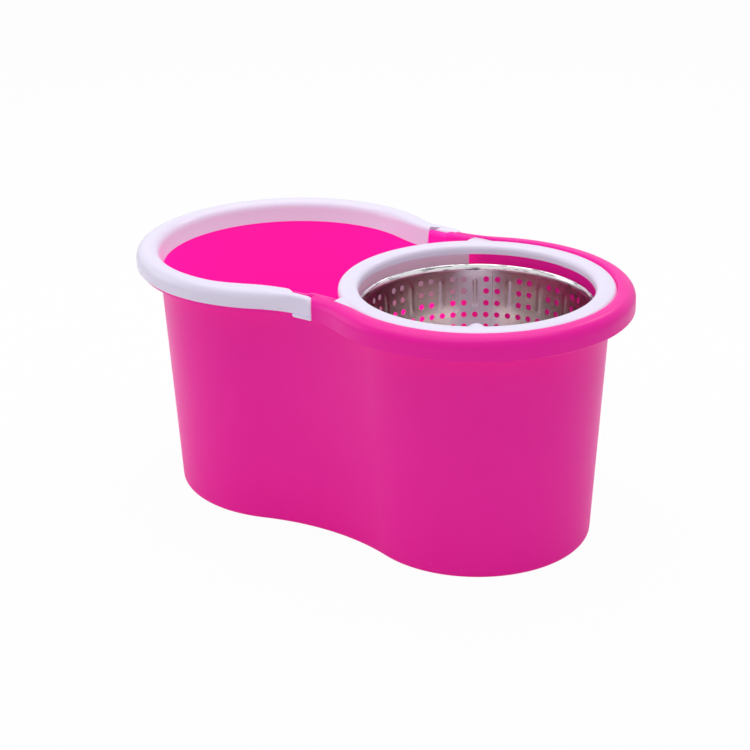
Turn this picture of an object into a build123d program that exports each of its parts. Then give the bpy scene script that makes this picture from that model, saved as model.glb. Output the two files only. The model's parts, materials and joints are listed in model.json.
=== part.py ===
from build123d import *
from math import cos, radians, sin, sqrt, tan
import os

# Figure-of-eight bucket with a spinning wringer basket. Millimetres, +Z up, floor at z = 0.
# The long axis is X: the washing lobe lies towards -X and the spinning lobe towards +X.
# The origin is the middle of the whole object's footprint.

# ---- overall form --------------------------------------------------------------------------
LENGTH = 470.0            # over both lobes of the rim
HEIGHT = 225.0            # floor to the top of the rim
WASH_RADIUS = 137.5       # outer radius of the rim round the washing lobe
SPIN_RADIUS = 131.5       # outer radius of the rim round the spinning lobe
WAIST_RADIUS = 95.0       # hollow arcs of the rim between the lobes
GAP = 0.3                 # air between two mouldings that rest on each other
FIT = 0.05                # radial play between pieces that slide onto one another

# ---- tub -----------------------------------------------------------------------------------
TUB_WALL = 2.4
TUB_FLOOR = 2.6
TUB_INSET = 19.5          # rim's outer edge to the tub's wall, at the ledge
TUB_WAIST_RADIUS = 180.0  # hollow arcs of the tub's wall, at the ledge
TUB_DRAFT = 2.9           # degrees
FOOT_HEIGHT = 3.0         # hollow under the floor, inside the foot rim
FOOT_RIM = 9.0            # width of the foot rim
FOOT_FILLET = 5.0
FLOOR_FILLET = 9.0

# ---- rim -----------------------------------------------------------------------------------
RIM_SKIN = 2.5            # wall of the rim's hollow section
RIM_WIDTH = 13.0          # rim's outer edge to the well that takes the splash ring
RIM_DEPTH = 19.0          # rim's top down to its lower edge
RIM_FILLET = 9.5          # outer top edge
RIM_INNER_FILLET = 1.6
LEDGE_DEPTH = 7.0         # rim's top down to the ledge under the splash ring
FLANGE_DEPTH = 17.3       # rim's top down to the flange under the handle
FLANGE_THICKNESS = 2.2
FLANGE_INSET = 1.4        # handle's outer face to the flange's edge
FLANGE_END = 4.0          # flange's end to the ear

# ---- handle and its hinge ------------------------------------------------------------------
HINGE_SETBACK = 5.85      # narrowest place of the rim back to the hinge axis
HINGE_DEPTH = 7.2         # rim's top down to the hinge axis
HINGE_GAP = 0.5           # between ear and tongue
TONGUE_WALL = 3.0         # well to the flat outer face of the tongue
TONGUE_DEPTH = 12.0       # rim's top down to the low part of the tongue
TONGUE_RISE_START = 12.0  # hinge axis back to where the tongue starts to rise
TONGUE_RISE_END = 1.0     # hinge axis back to where it is full
STUD_RADIUS = 4.5
STUD_CLEARANCE = 0.08
STUD_RECESS = 0.3         # stud's end to the tongue's inner face
EAR_LENGTH = 24.0         # hinge axis back to the end of the handle's inner wall
EAR_RADIUS = 8.0          # round end of the ear, about the hinge axis
EAR_DEPTH = 19.0          # rim's top down to the ear's lower edge
EAR_LIP = 1.2             # the ear's lower edge stands proud by this
EAR_LIP_HEIGHT = 2.4
HANDLE_OVERHANG = 1.0     # tub's outer face in to the handle's inner face
HANDLE_SKIN = 2.4
HANDLE_OUTER_DEPTH = 15.0 # rim's top down to the outer wall's lower edge
HANDLE_FILLET = 9.0
HANDLE_INNER_FILLET = 4.0
BAND_GAP = 0.6            # ear's round end to the rim band's start
BAND_LEAN = 14.0          # degrees that the band's start leans back

# ---- splash ring ---------------------------------------------------------------------------
RING_CLEARANCE = 0.7      # ring to the rim's well
RING_SKIN = 2.2
RING_OVERLAP = 4.4        # the ring's inner lip covers the basket's hem by this
RING_LIP_DROP = 6.4       # crown down to the inner lip
RING_EDGE_DROP = 3.8      # crown down to the outer edge
CROWN_EDGE_STEP = 0.6     # well side of the ring in to the crown's outer edge
BRIDGE_STEP = 5.3         # well side of the ring in to its edge over the washing lobe
BRIDGE_EDGE_RISE = 1.0    # that edge stands this much over the brim
CROWN_STEP = 4.5          # that edge in to the top of the crown
BRIM_OVERLAP = 2.0        # brim and crown run into each other by this
RING_TAB_REACH = 30.0     # hinge axis to the ring's two points, where it leaves the rim
SKIRT_CLEARANCE = 4.4     # tub's wall in to the ring's skirt
SKIRT_DEPTH = 49.0        # rim's top down to the skirt's lower edge
SKIRT_HALF_ANGLE = 52.0
LOCATING_LIP_DEPTH = 13.0
LOCATING_LIP_ANGLE = 80.0

# ---- spin basket ---------------------------------------------------------------------------
STEEL = 0.8
BASKET_CLEARANCE = 3.6    # ring's skirt in to the basket's hem
BASKET_DEPTH = 18.5       # rim's top down to the basket's top
BASKET_HEIGHT = 88.5
BASKET_TAPER = 3.4        # degrees
HEM_WIDTH = 3.2
HEM_HEIGHT = 5.5
HEM_FILLET = 1.5
PAN_CORNER = 10.0
PAN_OVERLAP = 5.0
HOLE_RADIUS = 2.6
HOLE_SIDES = 8
HOLE_ROW_DROP = 10.8      # basket's top down to the first row
HOLE_ROW_PITCH = 10.9
PERIODS = 20              # a pair of holes and a rib, repeated round the basket
PATTERN_START = 116.0     # degrees: the middle of one pair, where the strip is welded
HOLE_ROWS = ((-1, 1), (-1, 1), (-1, 1), (-1, 1, 3), (-1, 1))  # sixths of a period, row by row
RIB_WIDTH = 5.0
RIB_HEIGHT = 27.0
RIB_RISE = 1.3
RIB_DROP = 12.5           # first row down to the middle of the ribs
FLOOR_RING_COUNTS = (12, 16, 20)  # holes in each ring of the floor, from the hub outwards
FLOOR_RING_STEP = 12.0

# ---- bearings (608 size) -------------------------------------------------------------------
SPINDLE_RADIUS = 4.0
BEARING_RADIUS = 11.0
BEARING_WIDTH = 7.0
INNER_RING_WALL = 2.05
OUTER_RING_WALL = 1.5
RACE_DEPTH = 0.25         # each race takes this much of the ball
RACE_CLEARANCE = 0.08
BALL_COUNT = 7
CAGE_HALF_WIDTH = 0.8
CAGE_BELOW = 0.6          # cage's lower edge under the balls' middle
CAGE_ABOVE = 2.8

# ---- hub -----------------------------------------------------------------------------------
HUB_HEIGHT = 58.0         # basket's floor to the top of the post
SPIGOT_WALL = 5.0
SPIGOT_GAP = 0.2          # spigot's lower edge under the lower bearing
POST_WALL = 4.5
POST_LENGTH = 20.0
HUB_CONE_RADIUS = 24.0
HUB_CONE_RISE = 2.0
HUB_FLANGE_THICKNESS = 4.0
CAP_RISE = 3.5            # upright edge of the cap
CAP_DOME = 8.5            # height of the dome over that edge
CAP_WALL = 2.2
CAP_SPIGOT_LENGTH = 3.4
PLATE_THICKNESS = 4.0
SCREW_COUNT = 4
SCREW_RADIUS = 2.0
SCREW_CLEARANCE = 0.1
SCREW_HEAD_RADIUS = 3.8
SCREW_HEAD_HEIGHT = 2.5
SCREW_LENGTH = 7.5
SCREW_MARGIN = 0.2        # screw's head to the cone, and air over the screw's tip
SCREW_EDGE = 8.0          # screw's centre to the flange's edge

# ---- spindle and its tower -----------------------------------------------------------------
TOWER_DROP = 23.0         # basket's floor down to the tower's top
TOWER_TOP_RADIUS = 22.0
TOWER_FOOT_RADIUS = 34.0
TOWER_SKIN = 3.0
TOWER_FILLET = 2.0
WEB_COUNT = 4
WEB_REACH = 16.0          # webs stand out from the tower's foot by this
WEB_DROP = 29.0           # tower's top down to the top of the webs
WEB_THICKNESS = 2.2
COLLAR_RADIUS = 8.0
COLLAR_HEIGHT = 4.0
SHAFT_CHAMFER = 0.8
GASKET_RADIUS = 9.5
GASKET_HEIGHT = 1.5
WASHER_RADIUS = 10.0
WASHER_HEIGHT = 1.5
NUT_FLATS = 13.0
NUT_HEIGHT = 6.5
SPINDLE_TAIL = 4.0        # spindle's end under the nut
THRUST_HEIGHT = 1.0
THRUST_STEP = 0.15        # washer and spacer stay inside the inner ring by this
CLIP_RADIUS = 6.2
CLIP_THICKNESS = 0.9
CLIP_GROOVE = 0.4
CLIP_MOUTH = 3.2
SHAFT_END = 3.0           # spindle's end over the clip


# ---- places that follow from the sizes -----------------------------------------------------
WASH_X = -LENGTH / 2 + WASH_RADIUS
SPIN_X = LENGTH / 2 - SPIN_RADIUS
SPIN_AXIS = Axis((SPIN_X, 0, 0), (0, 0, 1))
BIG = 2 * LENGTH


def waist_centre(wash_radius, spin_radius, waist_radius):
    """Centre of the hollow arc that is tangent to both lobes, on the +Y side."""
    span = SPIN_X - WASH_X
    to_wash = wash_radius + waist_radius
    to_spin = spin_radius + waist_radius
    along = (to_wash**2 - to_spin**2 + span**2) / (2 * span)
    return WASH_X + along, sqrt(to_wash**2 - along**2)


WAIST_X, WAIST_CENTRE_Y = waist_centre(WASH_RADIUS, SPIN_RADIUS, WAIST_RADIUS)
WELL_WAIST_Y = WAIST_CENTRE_Y - WAIST_RADIUS - RIM_WIDTH

LEDGE_Z = HEIGHT - LEDGE_DEPTH
FLANGE_Z = HEIGHT - FLANGE_DEPTH
RIM_LOW_Z = HEIGHT - RIM_DEPTH
FLOOR_TOP_Z = FOOT_HEIGHT + TUB_FLOOR
FOOT_INSET = LEDGE_Z * tan(radians(TUB_DRAFT))
TUB_BORE = SPIN_RADIUS - TUB_INSET - TUB_WALL

HINGE_X = WAIST_X - HINGE_SETBACK
HINGE_Z = HEIGHT - HINGE_DEPTH
HINGE_FACE_Y = WELL_WAIST_Y + TONGUE_WALL
HINGE = Pos(HINGE_X, 0, HINGE_Z) * Rot(90, 0, 0)
EAR_START_X = HINGE_X - EAR_LENGTH
BAND_START_X = HINGE_X + EAR_RADIUS + BAND_GAP
HANDLE_WIDTH = TUB_INSET + HANDLE_OVERHANG

RING_OUTER = SPIN_RADIUS - RIM_WIDTH - RING_CLEARANCE
RING_BRIDGE = RING_OUTER - BRIDGE_STEP
RING_CROWN = RING_BRIDGE - CROWN_STEP
RING_TAB_X = HINGE_X + RING_TAB_REACH
RING_SEAT_Z = LEDGE_Z + GAP
RING_EDGE_Z = HEIGHT - RING_EDGE_DROP
SKIRT_RADIUS = TUB_BORE - SKIRT_CLEARANCE
LIP_RADIUS = TUB_BORE - RING_CLEARANCE

BASKET_RIM = SKIRT_RADIUS - RING_SKIN - BASKET_CLEARANCE
RING_OPENING = BASKET_RIM - RING_OVERLAP
BASKET_TOP_Z = HEIGHT - BASKET_DEPTH
BASKET_FLOOR_Z = BASKET_TOP_Z - BASKET_HEIGHT
HOLE_TOP_Z = BASKET_TOP_Z - HOLE_ROW_DROP
PERIOD = 360.0 / PERIODS

INNER_RING_RADIUS = SPINDLE_RADIUS + INNER_RING_WALL
OUTER_RING_BORE = BEARING_RADIUS - OUTER_RING_WALL
BALL_CIRCLE = (INNER_RING_RADIUS + OUTER_RING_BORE) / 2
BALL_RADIUS = (OUTER_RING_BORE - INNER_RING_RADIUS) / 2 + RACE_DEPTH
THRUST_RADIUS = INNER_RING_RADIUS - THRUST_STEP

HUB_SPIGOT_RADIUS = BEARING_RADIUS + SPIGOT_WALL
HUB_POST_RADIUS = BEARING_RADIUS + POST_WALL
HUB_TOP_Z = BASKET_FLOOR_Z + HUB_HEIGHT
SCREW_CIRCLE = HUB_CONE_RADIUS + SCREW_HEAD_RADIUS + SCREW_MARGIN
HUB_FLANGE_RADIUS = SCREW_CIRCLE + SCREW_EDGE
PLATE_LOW_Z = BASKET_FLOOR_Z - PLATE_THICKNESS

TOWER_TOP_Z = BASKET_FLOOR_Z - TOWER_DROP
COLLAR_LOW_Z = TOWER_TOP_Z + GASKET_HEIGHT
COLLAR_TOP_Z = COLLAR_LOW_Z + COLLAR_HEIGHT
LOWER_BEARING_Z = COLLAR_TOP_Z + THRUST_HEIGHT
SPIGOT_LOW_Z = LOWER_BEARING_Z - SPIGOT_GAP
CLIP_LOW_Z = HUB_TOP_Z - CAP_SPIGOT_LENGTH
UPPER_BEARING_Z = CLIP_LOW_Z - FIT - BEARING_WIDTH
TOWER_CEILING_Z = TOWER_TOP_Z - TOWER_SKIN
NUT_TOP_Z = TOWER_CEILING_Z - WASHER_HEIGHT


# ---- outlines and simple solids ------------------------------------------------------------
def figure_eight(wash_radius, spin_radius, waist_radius):
    """Two lobe arcs joined by two hollow arcs that are tangent to both."""
    waist_x, waist_y = waist_centre(wash_radius, spin_radius, waist_radius)
    wash_share = wash_radius / (wash_radius + waist_radius)
    spin_share = spin_radius / (spin_radius + waist_radius)
    wash_end = (WASH_X + (waist_x - WASH_X) * wash_share, waist_y * wash_share)
    spin_end = (SPIN_X + (waist_x - SPIN_X) * spin_share, waist_y * spin_share)
    waist = (waist_x, waist_y - waist_radius)
    mirrored = lambda point: (point[0], -point[1])
    return Wire([
        ThreePointArc(wash_end, (WASH_X - wash_radius, 0), mirrored(wash_end)),
        ThreePointArc(mirrored(wash_end), mirrored(waist), mirrored(spin_end)),
        ThreePointArc(mirrored(spin_end), (SPIN_X + spin_radius, 0), spin_end),
        ThreePointArc(spin_end, waist, wash_end),
    ])


def rim_outline(inset):
    """Outline of the rim, moved in by the inset."""
    return figure_eight(WASH_RADIUS - inset, SPIN_RADIUS - inset, WAIST_RADIUS + inset)


def tub_outline(inset):
    """Outline of the tub's wall at the ledge, moved in by the inset."""
    depth = TUB_INSET + inset
    return figure_eight(WASH_RADIUS - depth, SPIN_RADIUS - depth, TUB_WAIST_RADIUS + inset)


def prism(outline, low, high):
    """Upright solid on an outline."""
    return extrude(Pos(0, 0, low) * Face(outline), high - low)


def drafted(inset, low):
    """Tub-shaped solid from the ledge down to a level, drawn in by the tub's draft."""
    return extrude(Pos(0, 0, LEDGE_Z) * Face(tub_outline(inset)), low - LEDGE_Z, taper=TUB_DRAFT)


def slab(x_low, x_high, y_low, y_high, z_low, z_high):
    """Box given by its limits."""
    box = Box(x_high - x_low, y_high - y_low, z_high - z_low, align=(Align.MIN,) * 3)
    return Pos(x_low, y_low, z_low) * box


def before(x):
    """Everything on the washing side of a plane."""
    return slab(-BIG, x, -BIG, BIG, -BIG, BIG)


def beyond(x):
    """Everything on the spinning side of a plane."""
    return slab(x, BIG, -BIG, BIG, -BIG, BIG)


def disc(radius, low, high, x=SPIN_X):
    """Upright cylinder, on the spin axis unless told otherwise."""
    return Pos(x, 0, low) * Cylinder(radius, high - low, align=(Align.CENTER, Align.CENTER, Align.MIN))


def tube(outer, inner, low, high):
    """Upright ring on the spin axis."""
    return disc(outer, low, high) - disc(inner, low - 1, high + 1)


def turned(*points):
    """Solid of revolution about the spin axis from (radius, z) points."""
    outline = Polyline(*[(SPIN_X + r, 0, z) for r, z in points], close=True)
    return revolve(make_face(outline), SPIN_AXIS)


def edges_at(solid, z):
    """Edges that lie flat at a height."""
    return solid.edges().filter_by_position(Axis.Z, z - 0.01, z + 0.01)


def round_top(solid, radius, outer=True):
    """Rounds the outer or the inner loop of edges of a ring-shaped solid's top."""
    top = solid.faces().sort_by(Axis.Z)[-1]
    wire = top.outer_wire() if outer else top.inner_wires()[0]
    return fillet(wire.edges(), radius)


def side_profile(*points):
    """Region with a given (x, z) profile, right across the bucket."""
    outline = Polyline(*[(x, 0, z) for x, z in points], close=True)
    return extrude(make_face(outline), BIG, dir=(0, 1, 0), both=True)


# ---- bucket --------------------------------------------------------------------------------
def tower_form():
    """Solid form of the tower that carries the spindle over the floor."""
    body = turned(
        (0, 0), (TOWER_FOOT_RADIUS, 0), (TOWER_FOOT_RADIUS, FLOOR_TOP_Z),
        (TOWER_TOP_RADIUS, TOWER_TOP_Z), (0, TOWER_TOP_Z),
    )
    return fillet(edges_at(body, TOWER_TOP_Z), TOWER_FILLET)


def tower_hollow():
    """Hollow of the tower, open from below, with the spindle's hole through its top."""
    foot = TOWER_FOOT_RADIUS - TOWER_SKIN
    top = TOWER_TOP_RADIUS - TOWER_SKIN
    hollow = turned((0, -1), (foot, -1), (foot, FLOOR_TOP_Z), (top, TOWER_CEILING_Z), (0, TOWER_CEILING_Z))
    return hollow + disc(SPINDLE_RADIUS + GAP, 0, TOWER_TOP_Z + 1)


def tower_webs():
    """Webs that brace the tower on the floor."""
    foot = FLOOR_TOP_Z
    top = TOWER_TOP_Z - WEB_DROP
    reach = TOWER_FOOT_RADIUS + WEB_REACH
    web = Polyline((0, 0, foot), (reach, 0, foot), (TOWER_TOP_RADIUS, 0, top), (0, 0, top), close=True)
    plate = extrude(make_face(web), WEB_THICKNESS / 2, dir=(0, 1, 0), both=True)
    turn = 360 / WEB_COUNT
    return [Pos(SPIN_X, 0, 0) * Rot(0, 0, turn * (k + 0.5)) * plate for k in range(WEB_COUNT)]


def spindle_tower():
    """Hollow tower with its webs, set in the round opening of the bucket's floor."""
    tower = tower_form() + tower_webs() - tower_hollow()
    return tower - disc(TOWER_FOOT_RADIUS + 1, -1, FOOT_HEIGHT)


def rim_band_region():
    """Everything beyond the band's leaning start face."""
    lean = RIM_DEPTH * tan(radians(BAND_LEAN))
    return side_profile(
        (BAND_START_X, 0), (BAND_START_X, RIM_LOW_Z), (BAND_START_X + lean, HEIGHT),
        (BAND_START_X + lean, BIG), (BIG, BIG), (BIG, 0),
    )


def tongue_region():
    """Side profile of the hinge tongues, between their flat outer faces."""
    low = HEIGHT - TONGUE_DEPTH
    rise_start = HINGE_X - TONGUE_RISE_START
    rise_end = HINGE_X - TONGUE_RISE_END
    profile = side_profile(
        (EAR_START_X, 0), (EAR_START_X, low), (rise_start, low), (rise_end, HEIGHT),
        (rise_end, BIG), (BIG, BIG), (BIG, 0),
    )
    return profile & slab(-BIG, BIG, -HINGE_FACE_Y, HINGE_FACE_Y, 0, BIG)


def rim_channel():
    """Hollow of the band's section, open from below and closed by a wall at its start."""
    channel = prism(rim_outline(RIM_SKIN), RIM_LOW_Z - 1, HEIGHT - RIM_SKIN)
    channel = round_top(channel, RIM_FILLET - RIM_SKIN)
    channel -= prism(rim_outline(RIM_WIDTH - RIM_SKIN), LEDGE_Z - RIM_SKIN, HEIGHT)
    return (channel & (Pos(RIM_SKIN, 0, 0) * rim_band_region())) - drafted(0, FLANGE_Z - RIM_DEPTH)


def rim():
    """Band round the spinning lobe with the well for the splash ring, and the two tongues."""
    band = round_top(prism(rim_outline(0), RIM_LOW_Z, HEIGHT), RIM_FILLET)
    band -= prism(rim_outline(RIM_WIDTH), LEDGE_Z, HEIGHT + 1)
    band = round_top(band, RIM_INNER_FILLET, outer=False)
    return band & (rim_band_region() + tongue_region())


def bucket_body():
    """Tub with a round opening for the tower, rim band, hinge tongues and handle flange."""
    tub = drafted(0, 0)
    tub = fillet(edges_at(tub, 0), FOOT_FILLET)
    cavity = drafted(TUB_WALL, FLOOR_TOP_Z)
    cavity = fillet(edges_at(cavity, FLOOR_TOP_Z), FLOOR_FILLET)
    flange = prism(rim_outline(FLANGE_INSET), FLANGE_Z - FLANGE_THICKNESS, FLANGE_Z)
    tub -= slab(-BIG, EAR_START_X, -BIG, BIG, FLANGE_Z, BIG)
    tub -= slab(EAR_START_X, BAND_START_X, -BIG, BIG, FLANGE_Z, BIG) - tongue_region()
    body = tub + rim() + (flange & before(EAR_START_X - FLANGE_END))
    body -= cavity
    body -= rim_channel()
    body -= prism(tub_outline(FOOT_INSET + FOOT_RIM), -1, FOOT_HEIGHT)
    body -= disc(TOWER_FOOT_RADIUS, 0, FLOOR_TOP_Z + 1)
    return body - HINGE * Cylinder(STUD_RADIUS + STUD_CLEARANCE, BIG)


# ---- carrying handle -----------------------------------------------------------------------
def handle_grip():
    """Open U channel that lies on the flange round the washing lobe."""
    low = FLANGE_Z + GAP
    inner = HANDLE_WIDTH - TUB_INSET
    grip = round_top(prism(rim_outline(0), low, HEIGHT), HANDLE_FILLET)
    grip -= prism(tub_outline(inner), low - 1, HEIGHT + 1)
    grip = round_top(grip, HANDLE_INNER_FILLET, outer=False)
    channel = prism(rim_outline(HANDLE_SKIN), low - 1, HEIGHT - HANDLE_SKIN)
    channel = round_top(channel, HANDLE_FILLET - HANDLE_SKIN)
    channel -= prism(tub_outline(inner - HANDLE_SKIN), low - 2, HEIGHT)
    lower_edge = prism(rim_outline(-1), low - 1, HEIGHT - HANDLE_OUTER_DEPTH)
    lower_edge -= prism(rim_outline(2 * HANDLE_SKIN), 0, HEIGHT)
    return (grip - channel - lower_edge) & before(EAR_START_X)


def handle_ears():
    """Thick flat ends of the handle, round about the hinge axis, with a proud lower lip."""
    low = HEIGHT - EAR_DEPTH
    ears = round_top(prism(rim_outline(0), low, HEIGHT), HANDLE_FILLET)
    ears += prism(rim_outline(-EAR_LIP), low, low + EAR_LIP_HEIGHT)
    face = HINGE_FACE_Y + HINGE_GAP
    ears -= slab(-BIG, BIG, -face, face, 0, HEIGHT + 1)
    end = slab(EAR_START_X - HANDLE_SKIN, HINGE_X, -BIG, BIG, low, HEIGHT)
    end += slab(HINGE_X - 1, HINGE_X + EAR_RADIUS, -BIG, BIG, low, HINGE_Z)
    return ears & (end + HINGE * Cylinder(EAR_RADIUS, BIG))


def carry_handle():
    """Handle with its two ears and the hinge studs that point inwards from them."""
    stud_end = WELL_WAIST_Y + STUD_RECESS
    reach = HINGE_FACE_Y + HINGE_GAP + 1
    studs = HINGE * Cylinder(STUD_RADIUS, 2 * reach)
    studs -= slab(-BIG, BIG, -stud_end, stud_end, 0, BIG)
    return handle_grip() + handle_ears() + studs


# ---- splash ring ---------------------------------------------------------------------------
def crown_profile():
    """Shallow arched section from the ring's outer edge over its crown to the inner lip."""
    edge = (RING_OUTER - CROWN_EDGE_STEP, RING_EDGE_Z)
    crown = (RING_CROWN, HEIGHT)
    lip = (RING_OPENING, HEIGHT - RING_LIP_DROP)
    place = lambda point, drop=0.0: (SPIN_X + point[0], 0, point[1] - drop)
    top = ThreePointArc(place(edge), place(crown), place(lip))
    under = ThreePointArc(place(lip, RING_SKIN), place(crown, RING_SKIN), place(edge, RING_SKIN))
    inner_end = Line(place(lip), place(lip, RING_SKIN))
    outer_end = Line(place(edge, RING_SKIN), place(edge))
    return make_face(Wire([top, inner_end, under, outer_end]))


def sector(half_angle, middle):
    """Wedge about the spin axis, both ways from the middle direction."""
    corners = [
        (BIG * cos(radians(middle + turn)), BIG * sin(radians(middle + turn)))
        for turn in (-half_angle, 0, half_angle)
    ]
    return Pos(SPIN_X, 0, 0) * extrude(make_face(Polyline((0, 0), *corners, close=True)), HEIGHT + 1)


def splash_ring():
    """Ring over the basket: crown, brim in the rim's well, free edge and locating lip."""
    crown = revolve(crown_profile(), SPIN_AXIS)
    crown = crown - (before(RING_TAB_X) - disc(RING_BRIDGE, 0, HEIGHT + 1))
    brim = prism(rim_outline(RIM_WIDTH + RING_CLEARANCE), RING_SEAT_Z, RING_EDGE_Z) & beyond(RING_TAB_X)
    brim -= disc(RING_BRIDGE - BRIM_OVERLAP, 0, HEIGHT + 1)
    free_edge = tube(RING_BRIDGE, RING_BRIDGE - RING_SKIN, RING_SEAT_Z, RING_EDGE_Z + BRIDGE_EDGE_RISE)
    free_edge = free_edge & before(RING_TAB_X + 1)
    lip = tube(LIP_RADIUS, LIP_RADIUS - RING_SKIN, HEIGHT - LOCATING_LIP_DEPTH, HEIGHT - RING_SKIN)
    return crown + brim + free_edge + (lip & sector(LOCATING_LIP_ANGLE, 0))


def splash_skirt(ring):
    """Guard under the ring, on the side of the washing lobe."""
    skirt = tube(SKIRT_RADIUS, SKIRT_RADIUS - RING_SKIN, HEIGHT - SKIRT_DEPTH, HEIGHT - RING_SKIN)
    return (skirt & sector(SKIRT_HALF_ANGLE, 180)) - ring


# ---- spin basket ---------------------------------------------------------------------------
def wall_radius(z):
    """Outer radius of the basket's tapered wall."""
    top = BASKET_RIM - HEM_WIDTH + STEEL
    return top - (BASKET_TOP_Z - z) * tan(radians(BASKET_TAPER))


def wall_drills():
    """One short bar of the hole's section through the wall for each hole."""
    length = 2 * (HEM_WIDTH + STEEL)
    bar = extrude(Plane.YZ * RegularPolygon(HOLE_RADIUS, HOLE_SIDES), length, both=True)
    middle_row = HOLE_TOP_Z - HOLE_ROW_PITCH * len(HOLE_ROWS) / 2
    bar = Pos(wall_radius(middle_row), 0, 0) * bar
    return [
        Pos(SPIN_X, 0, HOLE_TOP_Z - HOLE_ROW_PITCH * row)
        * Rot(0, 0, PATTERN_START + PERIOD * (k + column / 6)) * bar
        for row, columns in enumerate(HOLE_ROWS)
        for k in range(PERIODS)
        for column in columns
    ]


def wall_ribs():
    """Upright embossed ribs inside the wall, one between each two pairs of holes."""
    middle = HOLE_TOP_Z - RIB_DROP
    face = wall_radius(middle) - STEEL - RIB_RISE
    rib = Pos(face, 0, 0) * Rot(0, 90, 0) * SlotOverall(RIB_HEIGHT, RIB_WIDTH)
    pad = Rot(0, -BASKET_TAPER, 0) * extrude(rib, RIB_RISE + STEEL / 2, dir=(1, 0, 0))
    return [Pos(SPIN_X, 0, middle) * Rot(0, 0, PATTERN_START + PERIOD * (k + 0.5)) * pad for k in range(PERIODS)]


def basket_wall():
    """Tapered perforated wall with its upper edge turned out and down into a hem."""
    low = BASKET_FLOOR_Z + PAN_CORNER
    top = BASKET_TOP_Z
    leg = top - HEM_HEIGHT
    shell = turned(
        (wall_radius(low) - STEEL, low), (wall_radius(low), low), (wall_radius(leg), leg),
        (wall_radius(top - STEEL), top - STEEL), (BASKET_RIM - STEEL, top - STEEL),
        (BASKET_RIM - STEEL, leg), (BASKET_RIM, leg), (BASKET_RIM, top), (wall_radius(top) - STEEL, top),
    )
    shell = fillet(edges_at(shell, top), HEM_FILLET)
    return (shell + wall_ribs()) - wall_drills()


def basket_floor():
    """Pressed pan: flat perforated floor, rounded corner, and an edge seamed inside the wall."""
    floor = BASKET_FLOOR_Z
    edge_z = floor + PAN_CORNER + PAN_OVERLAP
    bore = HUB_SPIGOT_RADIUS + GAP
    corner = wall_radius(floor) - STEEL
    outer = turned((bore, floor), (corner, floor), (wall_radius(edge_z) - STEEL, edge_z), (bore, edge_z))
    outer = fillet(edges_at(outer, floor).sort_by(SortBy.LENGTH)[-1], PAN_CORNER)
    top = edge_z + 1
    hollow = turned(
        (0, floor + STEEL), (corner - STEEL, floor + STEEL), (wall_radius(top) - 2 * STEEL, top), (0, top),
    )
    hollow = fillet(edges_at(hollow, floor + STEEL), PAN_CORNER - STEEL)
    drill = extrude(RegularPolygon(HOLE_RADIUS, HOLE_SIDES), 2 * STEEL, both=True)
    drills = [
        Pos(SPIN_X, 0, floor) * Rot(0, 0, 360 * k / count)
        * Pos(HUB_FLANGE_RADIUS + FLOOR_RING_STEP * (ring + 1), 0, 0) * drill
        for ring, count in enumerate(FLOOR_RING_COUNTS)
        for k in range(count)
    ]
    return outer - hollow - drills - screw_shapes(SCREW_RADIUS + SCREW_CLEARANCE, floor - 1, top)


# ---- hub -----------------------------------------------------------------------------------
def screw_shapes(radius, low, high):
    """One upright cylinder at each screw's place."""
    screw = Pos(SCREW_CIRCLE, 0, 0) * disc(radius, low, high, 0)
    turn = 360 / SCREW_COUNT
    return [Pos(SPIN_X, 0, 0) * Rot(0, 0, turn * (k + 0.5)) * screw for k in range(SCREW_COUNT)]


def hub_column():
    """Post in the middle of the basket, with both bearing seats and the clamping flange."""
    base = BASKET_FLOOR_Z + STEEL
    flange_top = base + HUB_FLANGE_THICKNESS
    body = turned(
        (0, SPIGOT_LOW_Z), (HUB_SPIGOT_RADIUS, SPIGOT_LOW_Z), (HUB_SPIGOT_RADIUS, base),
        (HUB_FLANGE_RADIUS, base), (HUB_FLANGE_RADIUS, flange_top),
        (HUB_CONE_RADIUS, flange_top + HUB_CONE_RISE),
        (HUB_POST_RADIUS, HUB_TOP_Z - POST_LENGTH), (HUB_POST_RADIUS, HUB_TOP_Z), (0, HUB_TOP_Z),
    )
    body -= disc(BEARING_RADIUS + FIT, SPIGOT_LOW_Z - 1, LOWER_BEARING_Z + BEARING_WIDTH)
    body -= disc(OUTER_RING_BORE, SPIGOT_LOW_Z, HUB_TOP_Z + 1)
    body -= disc(BEARING_RADIUS + FIT, UPPER_BEARING_Z, HUB_TOP_Z + 1)
    screw_top = PLATE_LOW_Z + SCREW_LENGTH + SCREW_MARGIN
    return body - screw_shapes(SCREW_RADIUS + FIT, 0, screw_top)


def hub_cap():
    """Domed cap whose spigot holds the upper bearing down."""
    dome_low = HUB_TOP_Z + CAP_RISE
    dome_top = dome_low + CAP_DOME
    ball = (HUB_POST_RADIUS**2 + CAP_DOME**2) / (2 * CAP_DOME)
    cap = disc(HUB_POST_RADIUS, HUB_TOP_Z, dome_top) & (Pos(SPIN_X, 0, dome_top - ball) * Sphere(ball))
    spigot_low = HUB_TOP_Z - CAP_SPIGOT_LENGTH
    bore = BEARING_RADIUS - CAP_WALL
    hollow = disc(bore, spigot_low - 1, HUB_TOP_Z) + turned(
        (0, HUB_TOP_Z - 1), (bore, HUB_TOP_Z - 1), (bore, dome_low), (bore / 2, dome_top - 2 * CAP_WALL),
        (0, dome_top - 2 * CAP_WALL),
    )
    return cap + disc(BEARING_RADIUS - FIT, spigot_low, HUB_TOP_Z) - hollow


def hub_clamp_plate():
    """Ring under the basket's floor that the screws pull up against it."""
    plate = tube(HUB_FLANGE_RADIUS, HUB_SPIGOT_RADIUS + GAP, PLATE_LOW_Z, BASKET_FLOOR_Z)
    return plate - screw_shapes(SCREW_RADIUS + SCREW_CLEARANCE, PLATE_LOW_Z - 1, BASKET_FLOOR_Z + 1)


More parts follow.
